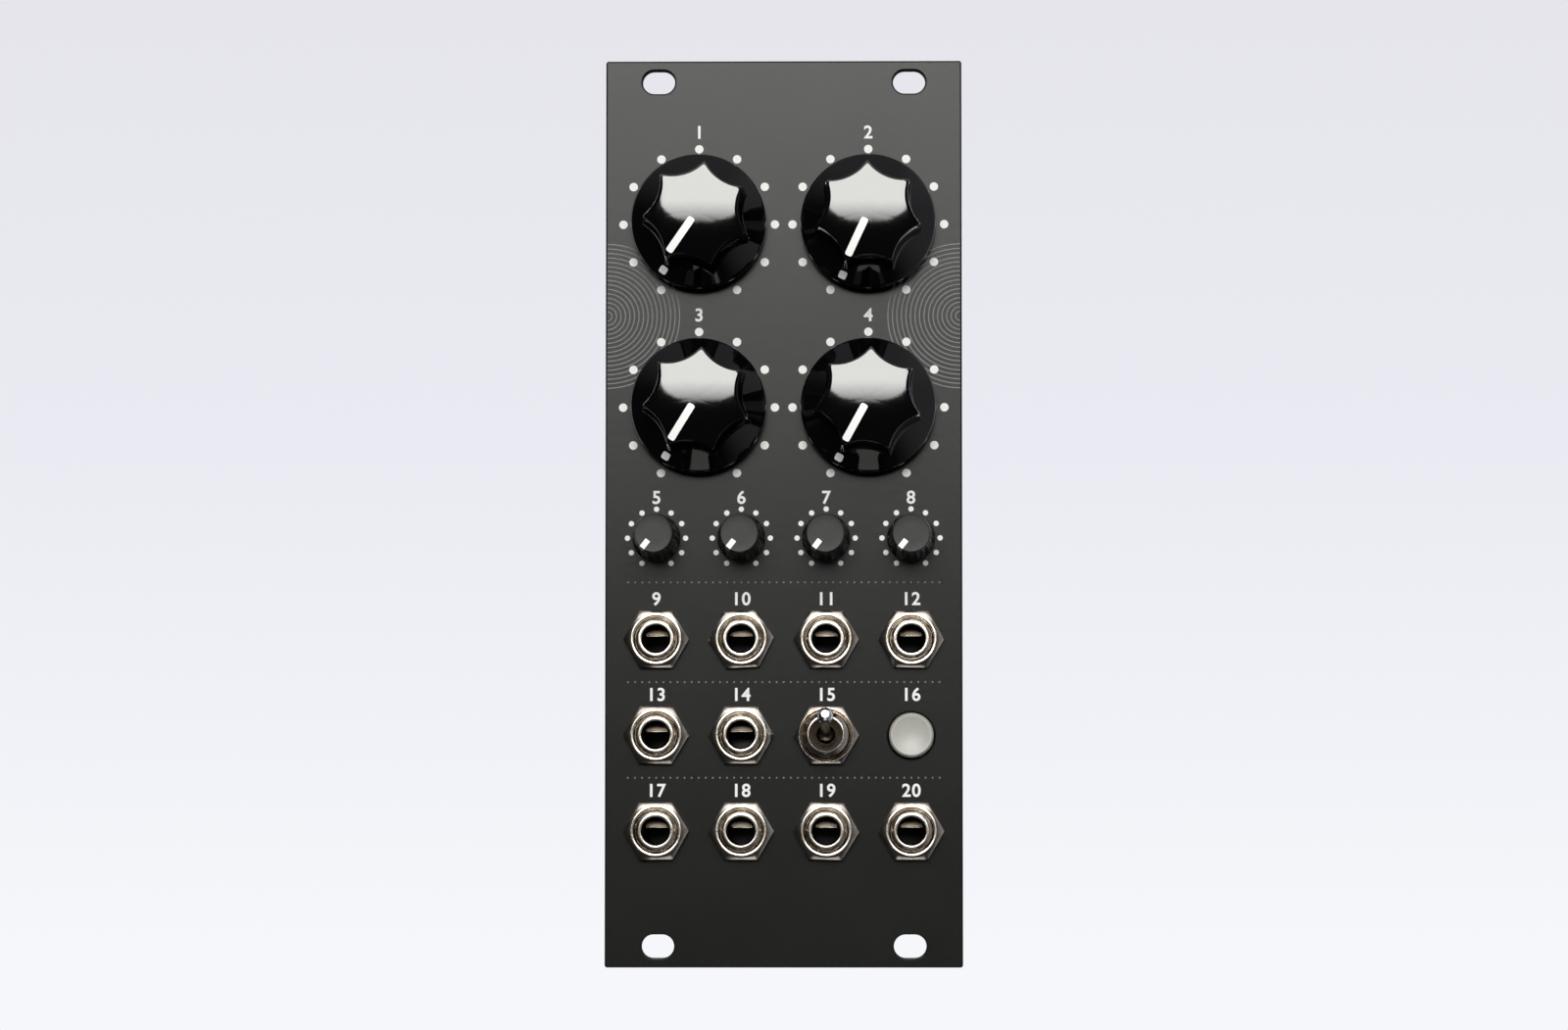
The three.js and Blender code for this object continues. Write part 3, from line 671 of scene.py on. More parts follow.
def inlay(surface, start, end, width, corner, rows=10):
    """A strip of enamel laid on a surface, a rule that gives a point at (across, along, lift)."""
    shape = bmesh.new()
    bmesh.ops.create_grid(shape, x_segments=1, y_segments=rows, size=0.5)
    for vert in shape.verts:
        vert.co = (vert.co.x * width, 0, start + (vert.co.y + 0.5) * (end - start))
    ends = [vert for vert in shape.verts if len(vert.link_edges) == 2]
    bmesh.ops.bevel(shape, geom=ends, affect="VERTICES", offset=corner, segments=3, profile=0.5, material=-1)
    raised = bmesh.ops.extrude_face_region(shape, geom=shape.faces[:], use_keep_orig=True)["geom"]
    lifted = {part for part in raised if isinstance(part, bmesh.types.BMVert)}
    for vert in shape.verts:
        vert.co = surface(vert.co.x, vert.co.z, 0.03 if vert in lifted else -0.12)
    return shape


def top_surface(x, z, lift):
    """A point over the dome."""
    return x, dome_depth(math.hypot(x, z)) - lift, z


def skirt_surface(x, z, lift):
    """A point over the skirt's upper face."""
    return x, skirt_depth(math.hypot(x, z)) - lift, z


def ridge_surface(x, along, lift):
    """A point over the cusp's ridge, between the top and the skirt."""
    share = (along - knob_top) / (skirt_depth(cusp_radius) - knob_top)
    across = x * (0.3 + 0.7 * share)
    radius = grip_radius(across / cusp_radius) * (1 + knob_draft * share) + lift
    return across, along, radius


# Phenolic, moulded in a polished tool: deep black, a nearly sharp mirror of the lamps, and a faint ripple.
mottled("glossy_black_phenolic", {"Base Color": srgb("#040405"), "IOR": 1.58}, size=0.9, gloss=(0.04, 0.08),
        dents=(1, 0.0022), detail=5, harshness=0.6)

# Enamel wiped into a groove: the whitest thing on the part, half glossy, slightly mottled.
mottled("white_enamel", {"Roughness": 0.3}, size=0.3, tones=("#ededeb", "#fcfcfa"))

for i, (at, turn) in enumerate(zip(large_places, pointer_turns), 1):
    body = f"large_knob_{i}"
    piece(f"large_grip_{i}", put_at(joined([grip(), skirt()]), at, turn), "glossy_black_phenolic",
          body=body, stands_for=[body])
    marks = [inlay(top_surface, start=0.85, end=6.65, width=1.05, corner=0.3),
             inlay(skirt_surface, start=8.0, end=9.05, width=1.15, corner=0.28, rows=4),
             inlay(ridge_surface, start=knob_top + knob_dome * 0.4, end=skirt_depth(cusp_radius) - 0.3,
                   width=0.5, corner=0.05)]
    piece(f"large_pointer_{i}", put_at(joined(marks), at, turn), "white_enamel", body=body)


# Small potentiometers, on the control board: a phenolic body with a pressed steel face, and flat pins.
# Their knobs are one moulding with the stem, soft black nylon with a knurled side. The pad-printed white
# mark starts on the top and runs over the edge.
cap_radius = 2.7
cap_top = panel_front - 12
cap_foot_radius = 3.42
cap_slope = (cap_foot_radius - cap_radius) / 12
knurl_ribs = 20
knurl_depth = 0.26
mark_turn = -142


def cap_ring(depth, inset=0.0, ribbed=False):
    """A ring of the cap's cone, with ribs where it is knurled."""
    def ring(angle):
        radius = cap_radius + (depth - cap_top) * cap_slope - inset
        if ribbed:
            radius -= knurl_depth * (0.5 - 0.5 * math.cos(knurl_ribs * angle)) ** 0.6
        return radius, depth
    return ring


def small_cap():
    """The cap with its shank in the panel's hole."""
    rings = [lambda angle: (3.1, 3.7), lambda angle: (3.1, panel_front + 0.3),
             cap_ring(panel_front, 0.15), cap_ring(panel_front - 0.15), cap_ring(panel_front - 0.75),
             cap_ring(panel_front - 0.9, 0.12), cap_ring(panel_front - 1.2, 0.05, True),
             cap_ring(panel_front - 6, 0, True), cap_ring(cap_top + 1.0, 0, True), cap_ring(cap_top + 0.75),
             cap_ring(cap_top + 0.14), cap_ring(cap_top + 0.05, 0.05), cap_ring(cap_top, 0.16),
             cap_ring(cap_top + 0.03, 0.4), cap_ring(cap_top + 0.03, 1.4), cap_ring(cap_top + 0.03, 2.4)]
    return skinned(rings, sides=knurl_ribs * 8)


def cap_surface(x, along, lift):
    """A point over the cap's top, and past its edge down its side."""
    if along <= cap_radius - 0.1:
        return x, cap_top + 0.01 - lift, along
    over = (along - cap_radius + 0.1) * 3
    radius = cap_radius + over * cap_slope + lift
    return x, cap_top + 0.1 + over, math.sqrt(radius ** 2 - x ** 2)


# Nylon, moulded in a spark-eroded tool: black with a soft grey sheen that the fine pores break up.
mottled("soft_black_nylon", {"Specular IOR Level": 0.42, "Roughness": 0.5}, size=0.22,
        tones=("#0a0a0a", "#131312"), dents=(0.6, 0.035), detail=4, harshness=0.6)

for i, at in enumerate(small_places, 1):
    body = f"small_knob_{i}"
    piece(f"small_cap_{i}", put_at(small_cap(), at, mark_turn), "soft_black_nylon",
          body=body, stands_for=[body])
    mark = inlay(cap_surface, start=1.18, end=3.0, width=0.78, corner=0.05, rows=8)
    piece(f"small_mark_{i}", put_at(mark, at, mark_turn), "white_enamel", body=body)
    low, high = corners_of(f"small_pot_{i}")
    body_front = low.y + 0.35
    stem_hole = circle(at, radius=3.3, steps=32)
    wafer = sheet([rectangle(low, high), stem_hole], high.y - body_front, high.y, edge=0.2)
    piece(f"small_pot_body_{i}", wafer, "green_phenolic", stands_for=[f"small_pot_{i}"])
    face = rectangle(low, high, shrink=0.07, about=at)
    piece(f"small_pot_face_{i}", sheet([face, stem_hole], thickness=0.45, back=body_front + 0.1, edge=0.08),
          "tin_plated_steel")
    pins(f"small_pot_pins_{i}", [(at.x + step * pin_pitch, low.z + 0.5) for step in (-1, 0, 1)],
         high.y - 0.4)


# Jack sockets: a black moulded housing with a threaded nickel-plated barrel through the panel, and a
# sprung contact inside that shows in the bore. Each is held by its hexagon nut.
barrel_front = -4.5
lining_radius = 1.9
bore_radius = 1.8
jack_nut_turns = (0, -3, 0, 1, 1, 0, -1, 0, 2, 0)


def jack_barrel():
    """The socket's barrel, with a lead-in to its bore and a flat bright end ring."""
    mouth = [(1.92, 2, 0), (1.92, barrel_front + 0.35, 0), (2.07, barrel_front, 0.03),
             (2.5, barrel_front, 0.05), (2.54, barrel_front + 0.12, 0.03), (2.66, barrel_front + 0.14, 0.03)]
    return barrel(mouth, radius=3, back=0)


def jack_lining():
    """The moulded tube inside the barrel, that a plug slides in."""
    return turned([(bore_radius, 9.2, 0), (bore_radius, barrel_front + 0.8, 0.05),
                   (lining_radius, barrel_front + 0.8, 0.03), (lining_radius, 9.2, 0)], closed=True)


def bent_strip(points, width, thickness):
    """A strip of sheet metal bent along (depth, height) points, as wide as given across X."""
    shape = bmesh.new()
    dots = [shape.verts.new((-width / 2, depth, height)) for depth, height in points]
    edges = [shape.edges.new(pair) for pair in zip(dots, dots[1:])]
    grown = bmesh.ops.extrude_edge_only(shape, edges=edges)["geom"]
    far = [part for part in grown if isinstance(part, bmesh.types.BMVert)]
    bmesh.ops.translate(shape, vec=(width, 0, 0), verts=far)
    bmesh.ops.solidify(shape, geom=shape.faces[:], thickness=thickness)
    return shape


def jack_contact():
    """The contact: a leaf of spring brass across the top of the bore."""
    return bent_strip([(1.1, 1.62), (0.61, 1.6), (0.53, 0.66)], 3.1, 0.08)


def jack_contact_edge():
    """The leaf's lower edge, rolled and rubbed bright by the plugs."""
    bead = [(0.53 + 0.1 * math.cos(math.radians(a)), 0.6 + 0.1 * math.sin(math.radians(a)))
            for a in range(80, 321, 20)]
    return bent_strip(bead, 3.1, 0.04)


# Nickel rubbed thin, with the brass coming through: brownish, and too dull to mirror.
mottled("worn_nickel", {"Metallic": 1}, size=0.3, tones=("#6a5f54", "#94887a"), gloss=(0.3, 0.42), detail=5,
        harshness=0.7)

# Nylon lining the narrow bore: painted near black as painted shade for the bore's depth, with hardly any
# gloss.
mottled("matt_black_nylon", {"Roughness": 0.9, "Specular IOR Level": 0.05}, size=0.4,
        tones=("#040404", "#080808"))

for i, (at, turn) in enumerate(zip(jack_places, jack_nut_turns), 1):
    low, high = corners_of(f"jack_{i}")
    case = sheet([rectangle(low, high), circle(at, radius=2.1, steps=32)], high.y, high.y, edge=0.25)
    ribs = [block((x - 0.12, 2.4, z - 0.5), (x + 0.12, 9.4, z + 0.5), edge=0.06)
            for x in (low.x, high.x) for z in (at.z - 3.6, at.z + 2.9)]
    piece(f"jack_housing_{i}", joined([case] + ribs), "black_moulded_nylon",
          stands_for=[f"jack_{i}"])
    pins(f"jack_pins_{i}", [(at.x, at.z + rise) for rise in (-4.9, -2.6, 3.9)], high.y - 0.6)
    piece(f"jack_barrel_{i}", put_at(jack_barrel(), at), "nickel_plated_brass")
    # The lining's near-black colour is painted shade down the bore.
    piece(f"jack_lining_{i}", put_at(jack_lining(), at), "matt_black_nylon")
    piece(f"jack_contact_{i}", put_at(jack_contact(), at), "worn_nickel")
    piece(f"jack_contact_edge_{i}", put_at(jack_contact_edge(), at), "nickel_plated_brass")
    ring_nut = nut(flats=8.04, thickness=1.8, chamfer_radius=3.585, hole_radius=3.12)
    piece(f"jack_ring_nut_{i}", put_at(ring_nut, at, turn), "nickel_plated_brass",
          stands_for=[f"jack_nut_{i}"])


# Toggle switch: a threaded bushing with a dished mouth, a hexagon nut, and a chromed lever with a ball.
# The lever is turned from brass and tips about its own ball joint inside the bushing.
mouth_front = panel_front - 6.9
lever_length = 10.6
ball_radius = 1.15
tip_angle = 27
lever_tilt = -13

# Chrome over polished brass: a neutral mirror, a little smeared by fingers.
mottled("polished_chrome", {"Metallic": 1, "Base Color": srgb("#dcdcdc")}, size=0.7, gloss=(0.1, 0.2))

# Cast resin: dull dark red, cloudy where it flowed, with a soft gloss.
mottled("red_epoxy_resin", {"Roughness": 0.4}, size=2, tones=("#6c1b19", "#852725"))


def toggle_bushing():
    """The bushing: a threaded tube with a bright mouth ring."""
    mouth = [(2.38, 2, 0), (2.38, mouth_front + 0.1, 0), (2.42, mouth_front, 0), (2.62, mouth_front, 0.05),
             (2.68, mouth_front + 0.25, 0.03)]
    return barrel(mouth, radius=3.15, back=0)


def toggle_cup():
    """The cup inside the bushing: a dish down to the throat that the lever comes out of."""
    return turned([(2.4, mouth_front + 0.08, 0), (1.32, mouth_front + 1.25, 0.15),
                   (1.32, mouth_front + 3.4, 0), (2.4, mouth_front + 3.4, 0)], closed=True)


def lever():
    """The lever, along its own axis from the pivot at the origin. The ball's tip is turned flat."""
    slants = [math.radians(a) for a in range(tip_angle, 148, 10)]
    ball = [(ball_radius * math.sin(a), -lever_length - ball_radius * math.cos(a), 0) for a in slants]
    tip = [(0, ball[0][1] - 0.01, 0), (0.3 * ball_radius, ball[0][1] - 0.006, 0)]
    knuckle = [(1.1 * math.sin(math.radians(a)), -1.1 * math.cos(math.radians(a)), 0)
               for a in range(45, 151, 15)]
    stem = [(0.55, -lever_length + 1.3, 0.1), (0.64, -1.4, 0.1)]
    return turned(tip + ball + stem + knuckle + [(0.7, 3.5, 0.1), (0, 3.5, 0)], steps=40)


piece("toggle_bushing", put_at(toggle_bushing(), toggle_pivot), "nickel_plated_brass")
piece("toggle_cup", put_at(toggle_cup(), toggle_pivot), "worn_nickel")
ring_nut = nut(flats=8.04, thickness=2, chamfer_radius=3.8, hole_radius=3.27, dish=0.12)
piece("toggle_ring_nut", put_at(ring_nut, toggle_pivot), "nickel_plated_brass",
      stands_for=["toggle_nut"])
low, high = corners_of("toggle_body")
case = sheet([rectangle(low, high), circle(toggle_pivot, radius=2.3, steps=32)], 8.8, 8.8, edge=0.3)
piece("toggle_case", case, "red_epoxy_resin", stands_for=["toggle_body"])
pins("toggle_pins", [(toggle_pivot.x, toggle_pivot.z + rise) for rise in (-4.7, 0, 4.7)], 8.4)
tipped = Matrix.Translation(toggle_pivot) @ Matrix.Rotation(math.radians(lever_tilt), 4, "X")
lever_shape = lever()
bmesh.ops.transform(lever_shape, matrix=tipped, verts=lever_shape.verts)
piece("toggle_stick", lever_shape, "polished_chrome", body="toggle_lever",
      stands_for=["toggle_lever"])


# Push button: a round off-white ABS cap with a slightly dished face, on a momentary switch.
cap_face = panel_front - 2
button_radius = 3.15

# ABS, moulded: a warm off-white with a soft gloss, even but for a faint cloud.
mottled("off_white_abs", {"Roughness": 0.38}, size=0.6, tones=("#a19f99", "#abaaa3"))


def button():
    """The cap, from the middle of its face round its edge to its stem."""
    dish = [(radius, cap_face + 0.02 + 0.34 * (1 - (radius / 2.6) ** 2), 0)
            for radius in (0, 0.4, 0.8, 1.2, 1.6, 2.0, 2.3, 2.5)]
    edge = [(2.68, cap_face, 0.06), (2.85, cap_face, 0), (button_radius, cap_face + 0.4, 0.22)]
    return turned(dish + edge + [(button_radius, 1.4, 0), (1.5, 1.4, 0), (1.5, 5.4, 0), (0, 5.4, 0)])


piece("button_face", put_at(button(), button_place), "off_white_abs", body="button_cap",
      stands_for=["button_cap"])
low, high = corners_of("button_switch")
stem_hole = circle(button_place, radius=1.65, steps=32)
rivets = [put_at(turned([(0, low.y - 0.1, 0), (0.35, low.y - 0.1, 0.1), (0.4, low.y + 0.3, 0)], steps=16),
                 button_place + Vector((x, 0, z))) for x in (-2.2, 2.2) for z in (-2.2, 2.2)]
case = sheet([rectangle(low, high), stem_hole], high.y - low.y - 0.3, high.y, edge=0.2)
piece("switch_case", joined([case] + rivets), "black_moulded_nylon",
      stands_for=["button_switch"])
plate = rectangle(low, high, shrink=0.06, about=button_place)
piece("switch_plate", sheet([plate, stem_hole], thickness=0.35, back=low.y + 0.35, edge=0.06),
      "tin_plated_steel")
pins("switch_pins", [(button_place.x + x, button_place.z + z) for x in (-2.3, 2.3) for z in (-2.3, 2.3)], 9.5)


# Control board: 1.6 mm glass fibre with a black solder mask. All controls are soldered to it, and on its
# back it has small surface-mounted parts and traces under the mask.
board_thickness = 1.6
trace_width = 0.3
trace_rise = 0.02
print_width = 0.16
print_rise = 0.03
part_length = 1.6
part_width = 0.8
resistor_height = 0.5
capacitor_height = 0.75
spacer_hole = 1.55
spacer_places = [middle(name) for name in ("spacer_upper", "spacer_lower")]

# Epoxy mask over glass cloth: a glossy blue-black, uneven from the cloth, whose weave is finer than this.
mottled("black_solder_mask", {"Roughness": 0.3}, size=0.3, tones=("#14171c", "#1c2026"))
# The same mask over copper: a shade lighter and a little smoother.
mottled("masked_copper", {"Roughness": 0.28}, size=0.5, tones=("#262b32", "#2f353d"))
# Routed edge of the glass cloth and resin: rough, olive brown.
mottled("bare_glass_fibre", {"Roughness": 0.7}, size=0.4, tones=("#4a4a3a", "#66654f"))
# Solder, set from liquid: bright cones with duller patches.
mottled("tin_solder", {"Metallic": 1, "Base Color": srgb("#c3c6c8")}, size=0.6, gloss=(0.15, 0.32))
# Fired ceramic: a dull tan with fine specks.
mottled("tan_ceramic", {"Roughness": 0.55}, size=0.2, tones=("#8f7a58", "#a58f6c"))


def board(name, node, front, low, high):
    """A bare board with its spacer holes: its edges show the glass fibre."""
    loops = [rectangle(low, high)] + [circle(at, spacer_hole, steps=24) for at in spacer_places]
    made = piece(name, sheet(loops, board_thickness, front + board_thickness, edge=0.05),
                 "black_solder_mask", stands_for=[node])
    made.data.materials.append(bpy.data.materials["bare_glass_fibre"])
    for face in made.data.polygons:
        face.material_index = int(abs(face.normal.y) < 0.4)


def joints(name, places, face, way):
    """Cones of solder on a board's face, with the clipped pins standing out."""
    cone = [(0, 1.05, 0), (0.32, 1.0, 0), (0.4, 0.6, 0.1), (0.62, 0.15, 0.1), (0.95, 0, 0)]
    profile = [(radius, face + way * rise, cut) for radius, rise, cut in cone]
    shapes = [put_at(turned(profile, steps=12), Vector((x, 0, z))) for x, z in places]
    piece(name, joined(shapes), "tin_solder")


def lines(name, paths, face, width, rise, material):
    """Straight strips on a board's back, from point to point along each path. Where two of them meet,
    one is a little higher, so that no faces lie in one plane."""
    shapes = []
    for path in paths:
        for i, ((x0, z0), (x1, z1)) in enumerate(zip(path, path[1:])):
            top = face + rise * (1 + 0.4 * (i % 2))
            strip = block((-width / 2, face - 0.01, -width / 2),
                          (width / 2, top, math.hypot(x1 - x0, z1 - z0) + width / 2))
            shapes.append(put_at(strip, Vector((x0, 0, z0)), math.degrees(math.atan2(x1 - x0, z1 - z0))))
    piece(name, joined(shapes), material)


def small_parts(name, places, face):
    """Surface-mounted resistors and capacitors by turns, lying across or along the board."""
    resistors, capacitors, ends = [], [], []
    reach, half = part_length / 2, part_width / 2
    for i, (x, z, upright) in enumerate(places):
        kind, top = (resistors, face + resistor_height) if i % 2 else (capacitors, face + capacitor_height)
        body = block((-half, face, -reach), (half, top, reach), edge=0.04)
        caps = [block((-half - 0.04, face, end), (half + 0.04, top + 0.03, end + 0.34), edge=0.05)
                for end in (-reach - 0.04, reach - 0.3)]
        pads = [block((-half - 0.1, face, end), (half + 0.1, face + 0.06, end + 0.7))
                for end in (-reach - 0.4, reach - 0.3)]
        at, turn = Vector((x, 0, z)), 0 if upright else 90
        kind.append(put_at(body, at, turn))
        ends.append(put_at(joined(caps + pads), at, turn))
    piece(f"{name}_black_moulded_nylon", joined(resistors), "black_moulded_nylon")
    piece(f"{name}_tan_ceramic", joined(capacitors), "tan_ceramic")
    piece(f"{name}_ends", joined(ends), "tin_solder")


control_low, control_high = corners_of("control_board")
control_back = board_front + board_thickness
board("control_sheet", "control_board", board_front, control_low, control_high)
link_pitch = 2.54
link_places = [(side * 21.4, 43.5 + link_pitch * (step - 4.5)) for side in (-1, 1) for step in range(10)]
joints("control_joints", board_pins + link_places, control_back, 1)
control_places = [(x + shift, z, shift > 0)
                  for x in (-17, -7, 7, 17) for z in (66, 84, 94) for shift in (-1.8, 1.8)]
small_parts("control_parts", control_places, control_back)
control_paths = [[(x + step, 110), (x + step, 70 + 3 * step),
                  (x + 2 * step, 66 + 3 * step), (x + 2 * step, 12)]
                 for x in (-19, -10, 10, 19) for step in (-1, 0, 1)]
lines("control_traces", control_paths, control_back, trace_width, trace_rise, "masked_copper")


# Links and spacers: two ten-way socket strips on the control board take the pin strips of the main one,
# and two nylon spacers snap into both boards to hold them apart.
link_width = 2.5
pin_side = 0.64
main_low, main_high = corners_of("main_board")
main_front = main_low.y
main_back = main_front + board_thickness

# Nylon without pigment: milky, light goes a little way into it.
mottled("natural_nylon", {"Roughness": 0.5, "Subsurface Weight": 0.1}, size=2, tones=("#dfddd3", "#e9e7de"))
# Thin gold over brass: a warm yellow metal, slightly smeared.
mottled("gold_plated_brass", {"Metallic": 1, "Base Color": srgb("#d9b765")}, size=0.8, gloss=(0.18, 0.3))


def strip(x, heights, front, back):
    """A strip of one moulded cell for each pin, notched between them."""
    half = link_pitch / 2
    return joined([block((x - link_width / 2, front, z - half), (x + link_width / 2, back, z + half),
                         edge=0.22) for z in heights])


def square_pin(x, z, front, back):
    """A square pin with a tapered tip at its back."""
    half = pin_side / 2
    return block((x - half, front, z - half), (x + half, back, z + half), edge=0.12)


def split_ring(depth, radius, split):
    """A ring of a spacer's snap head, pinched where it is split."""
    def ring(angle):
        return radius * (1 - split * math.exp(-(math.sin(angle) / 0.22) ** 2)), depth
    return ring


def spacer():
    """A round column with a split snap head through each board."""
    near, far = board_front, main_back
    rings = [(near - 2.2, 0.5, 0.6), (near - 2.1, 0.8, 0.6), (near - 0.3, 1.7, 0.5), (near - 0.02, 1.7, 0.5),
             (near - 0.02, 1.35, 0.2), (control_back, 1.35, 0), (control_back + 0.02, 2.35, 0),
             (control_back + 0.25, 2.6, 0), (main_front - 0.25, 2.6, 0), (main_front - 0.02, 2.35, 0),
             (main_front, 1.35, 0), (far + 0.02, 1.35, 0.2), (far + 0.02, 1.7, 0.5), (far + 0.3, 1.7, 0.5),
             (far + 2.1, 0.8, 0.6), (far + 2.2, 0.5, 0.6)]
    return skinned([split_ring(*ring) for ring in rings], sides=48)


for side in ("left", "right"):
    low, high = corners_of(f"link_socket_{side}")
    x = (low.x + high.x) / 2
    heights = [low.z + link_pitch * (step + 0.5) for step in range(10)]
    piece(f"link_female_{side}", strip(x, heights, low.y, high.y - 0.06), "black_moulded_nylon",
          stands_for=[f"link_socket_{side}"])
    piece(f"link_male_{side}", strip(x, heights, high.y + 0.06, main_front), "black_moulded_nylon",
          stands_for=[f"link_header_{side}"])
    piece(f"link_pins_{side}", joined([square_pin(x, z, high.y - 1, main_back + 1.2) for z in heights]),
          "gold_plated_brass")
for name, at in zip(("spacer_upper", "spacer_lower"), spacer_places):
    piece(f"{name}_snap", put_at(spacer(), at, 90), "natural_nylon", stands_for=[name])


# Main board: black like the control board, with six amplifier chips, small parts, two electrolytic
# capacitors by the shrouded power connector, and two trimmers. Its white print has only frames and marks.
chip_column = 7
chip_width = 3.9
chip_length = 8.7
chip_height = 1.6
chip_lift = 0.12
chip_rows = [main_high.z - 15.5 - 15 * row for row in range(3)]
chip_face = main_back + chip_height + 0.01
lead_pitch = 1.27
lead_width = 0.4
lead_bends = ((-0.1, 0.4, 0.75, 0.93), (0.24, 0.42, 0.03, 0.93), (0.24, 1.0, 0.03, 0.19))
can_radius = 3.15
can_height = 7
can_places = [Vector((side * 15, 0, 22.5)) for side in (-1, 1)]
header_low, header_high = corners_of("power_header")
header_wall = 1.1
header_floor = 2.6
key_width = 4.5
key_depth = 5
header_place = middle("power_header")

# Moulding compound: charcoal rather than black, finely pitted.
mottled("black_epoxy_resin", {"Roughness": 0.45}, size=0.15, tones=("#161616", "#222221"),
        dents=(0.5, 0.01))
# Shrunk film over the can: tight and glossy, a bluish black.
mottled("black_shrink_sleeve", {"Roughness": 0.25}, size=1.5, tones=("#16161c", "#1f1f27"), detail=2)
# Drawn aluminium: a pale grey metal, its gloss broken by fine marks.
mottled("brushed_aluminium", {"Metallic": 1, "Base Color": srgb("#c2c4c6")}, size=0.2, gloss=(0.25, 0.45))
# Polyester, moulded: a saturated blue with a soft gloss.
mottled("blue_moulded_plastic", {"Roughness": 0.4}, size=0.4, tones=("#1f4f8c", "#285b9b"))


def framed(low_x, low_z, high_x, high_z):
    """The path of a rectangle."""
    return [(low_x, low_z), (high_x, low_z), (high_x, high_z), (low_x, high_z), (low_x, low_z)]


board("main_sheet", "main_board", main_front, main_low, main_high)
header_pin_places = [(header_place.x + link_pitch * column, header_place.z + link_pitch / 2 * row)
                     for column in range(-2, 3) for row in (-1, 1)]
can_pin_places = [(at.x, at.z + rise) for at in can_places for rise in (-1.25, 1.25)]
joints("main_joints", link_places, main_back, 1)
joints("main_front_joints", header_pin_places + can_pin_places, main_front, -1)

bodies, leads, dots, prints = [], [], [], []
for side in (-1, 1):
    for z in chip_rows:
        x = side * chip_column
        bodies.append(block((x - chip_width / 2, main_back + chip_lift, z - chip_length / 2),
                            (x + chip_width / 2, main_back + chip_height, z + chip_length / 2),
                            edge=0.14))
        for way in (-1, 1):
            edge = x + way * chip_width / 2
            for step in range(7):
                foot = z + lead_pitch * (step - 3) - lead_width / 2
                for near, far, bottom, top in lead_bends:
                    start, end = sorted((edge + way * near, edge + way * far))
                    leads.append(block((start, main_back + bottom, foot),
                                       (end, main_back + top, foot + lead_width)))
        dot = turned([(0, chip_face, 0), (0.38, chip_face, 0), (0.38, chip_face - 0.6, 0)], steps=16)
        dots.append(put_at(dot, Vector((x - 1.2, 0, z + 3.6))))
        prints.append(framed(x - 3.4, z - 4.9, x + 3.4, z + 4.9))
        prints.append([(x - 0.6, z + 5.3), (x + 0.6, z + 5.3)])
piece("chips", joined(bodies), "black_epoxy_resin")
piece("chip_leads", joined(leads), "tin_plated_steel")
piece("chip_marks", joined(dots), "grey_epoxy_ink")

# Small parts stand in threes beside the chips and lie between the links, but none is under a spacer.
wanted = [(x, z + rise, True) for z in chip_rows for x in (-13.2, -10.6, -0.9, 0.9, 10.6, 13.2)
          for rise in (-4.2, -1.4, 1.4)]
wanted += [(x, z, False) for x in (-16, -12, -8, 8, 12, 16) for z in (37, 40, 56)]
main_places = [(x, z, upright) for x, z, upright in wanted
               if all(math.hypot(x - at.x, z - at.z) > 4 for at in spacer_places)]
small_parts("main_parts", main_places, main_back)

# Six traces run up each side from the power connector, and short ones lead from them to the chips.
main_paths = []
for side in (-1, 1):
    for step in range(6):
        x = side * (14.6 + 0.75 * step)
        main_paths.append([(side * (4 + 0.75 * step), 33), (side * (4 + 0.75 * step), 44 - step),
                           (x, 54 - step + side), (x, 112 - step)])
    for z in chip_rows:
        main_paths += [[(side * 10, z + rise), (side * 14.6, z + rise)]
                       for rise in (-2 * lead_pitch, 0, 2 * lead_pitch)]
main_paths += [[(x, 12), (x, 16), (x * 0.8, 18)] for x in (-20, -18, 18, 20)]
lines("main_traces", main_paths, main_back, trace_width, trace_rise, "masked_copper")

header_outline = framed(header_low.x - 0.5, header_low.z - 0.5, header_high.x + 0.5, header_high.z + 0.5)
prints += [header_outline, framed(-23.2, 29.9, -19.6, 57.1), framed(19.6, 29.9, 23.2, 57.1)]
prints += [[(-3, 29.2), (3, 29.2)], [(-20, 10), (-10, 10)], [(10, 10), (20, 10)]]
lines("main_print", prints, main_back, print_width, print_rise, "white_epoxy_ink")


def can():
    """An electrolytic capacitor: its sleeve is shrunk over the groove at its foot and its rim."""
    top = main_back + can_height
    return turned([(0, main_back, 0), (can_radius - 0.15, main_back + 0.05, 0.15),
                   (can_radius, main_back + 0.7, 0.2), (can_radius - 0.25, main_back + 1.2, 0.25),
                   (can_radius, main_back + 1.8, 0.3), (can_radius, top - 0.05, 0.35),
                   (can_radius - 0.75, top, 0.1), (can_radius - 0.8, top - 0.3, 0), (0, top - 0.3, 0)])


def can_top():
    """The can's bare top, without its vent, which is drawn apart as dark strips of painted shade."""
    top = main_back + can_height - 0.12
    return turned([(0, top, 0), (can_radius - 0.72, top, 0), (can_radius - 0.72, top - 0.25, 0)])


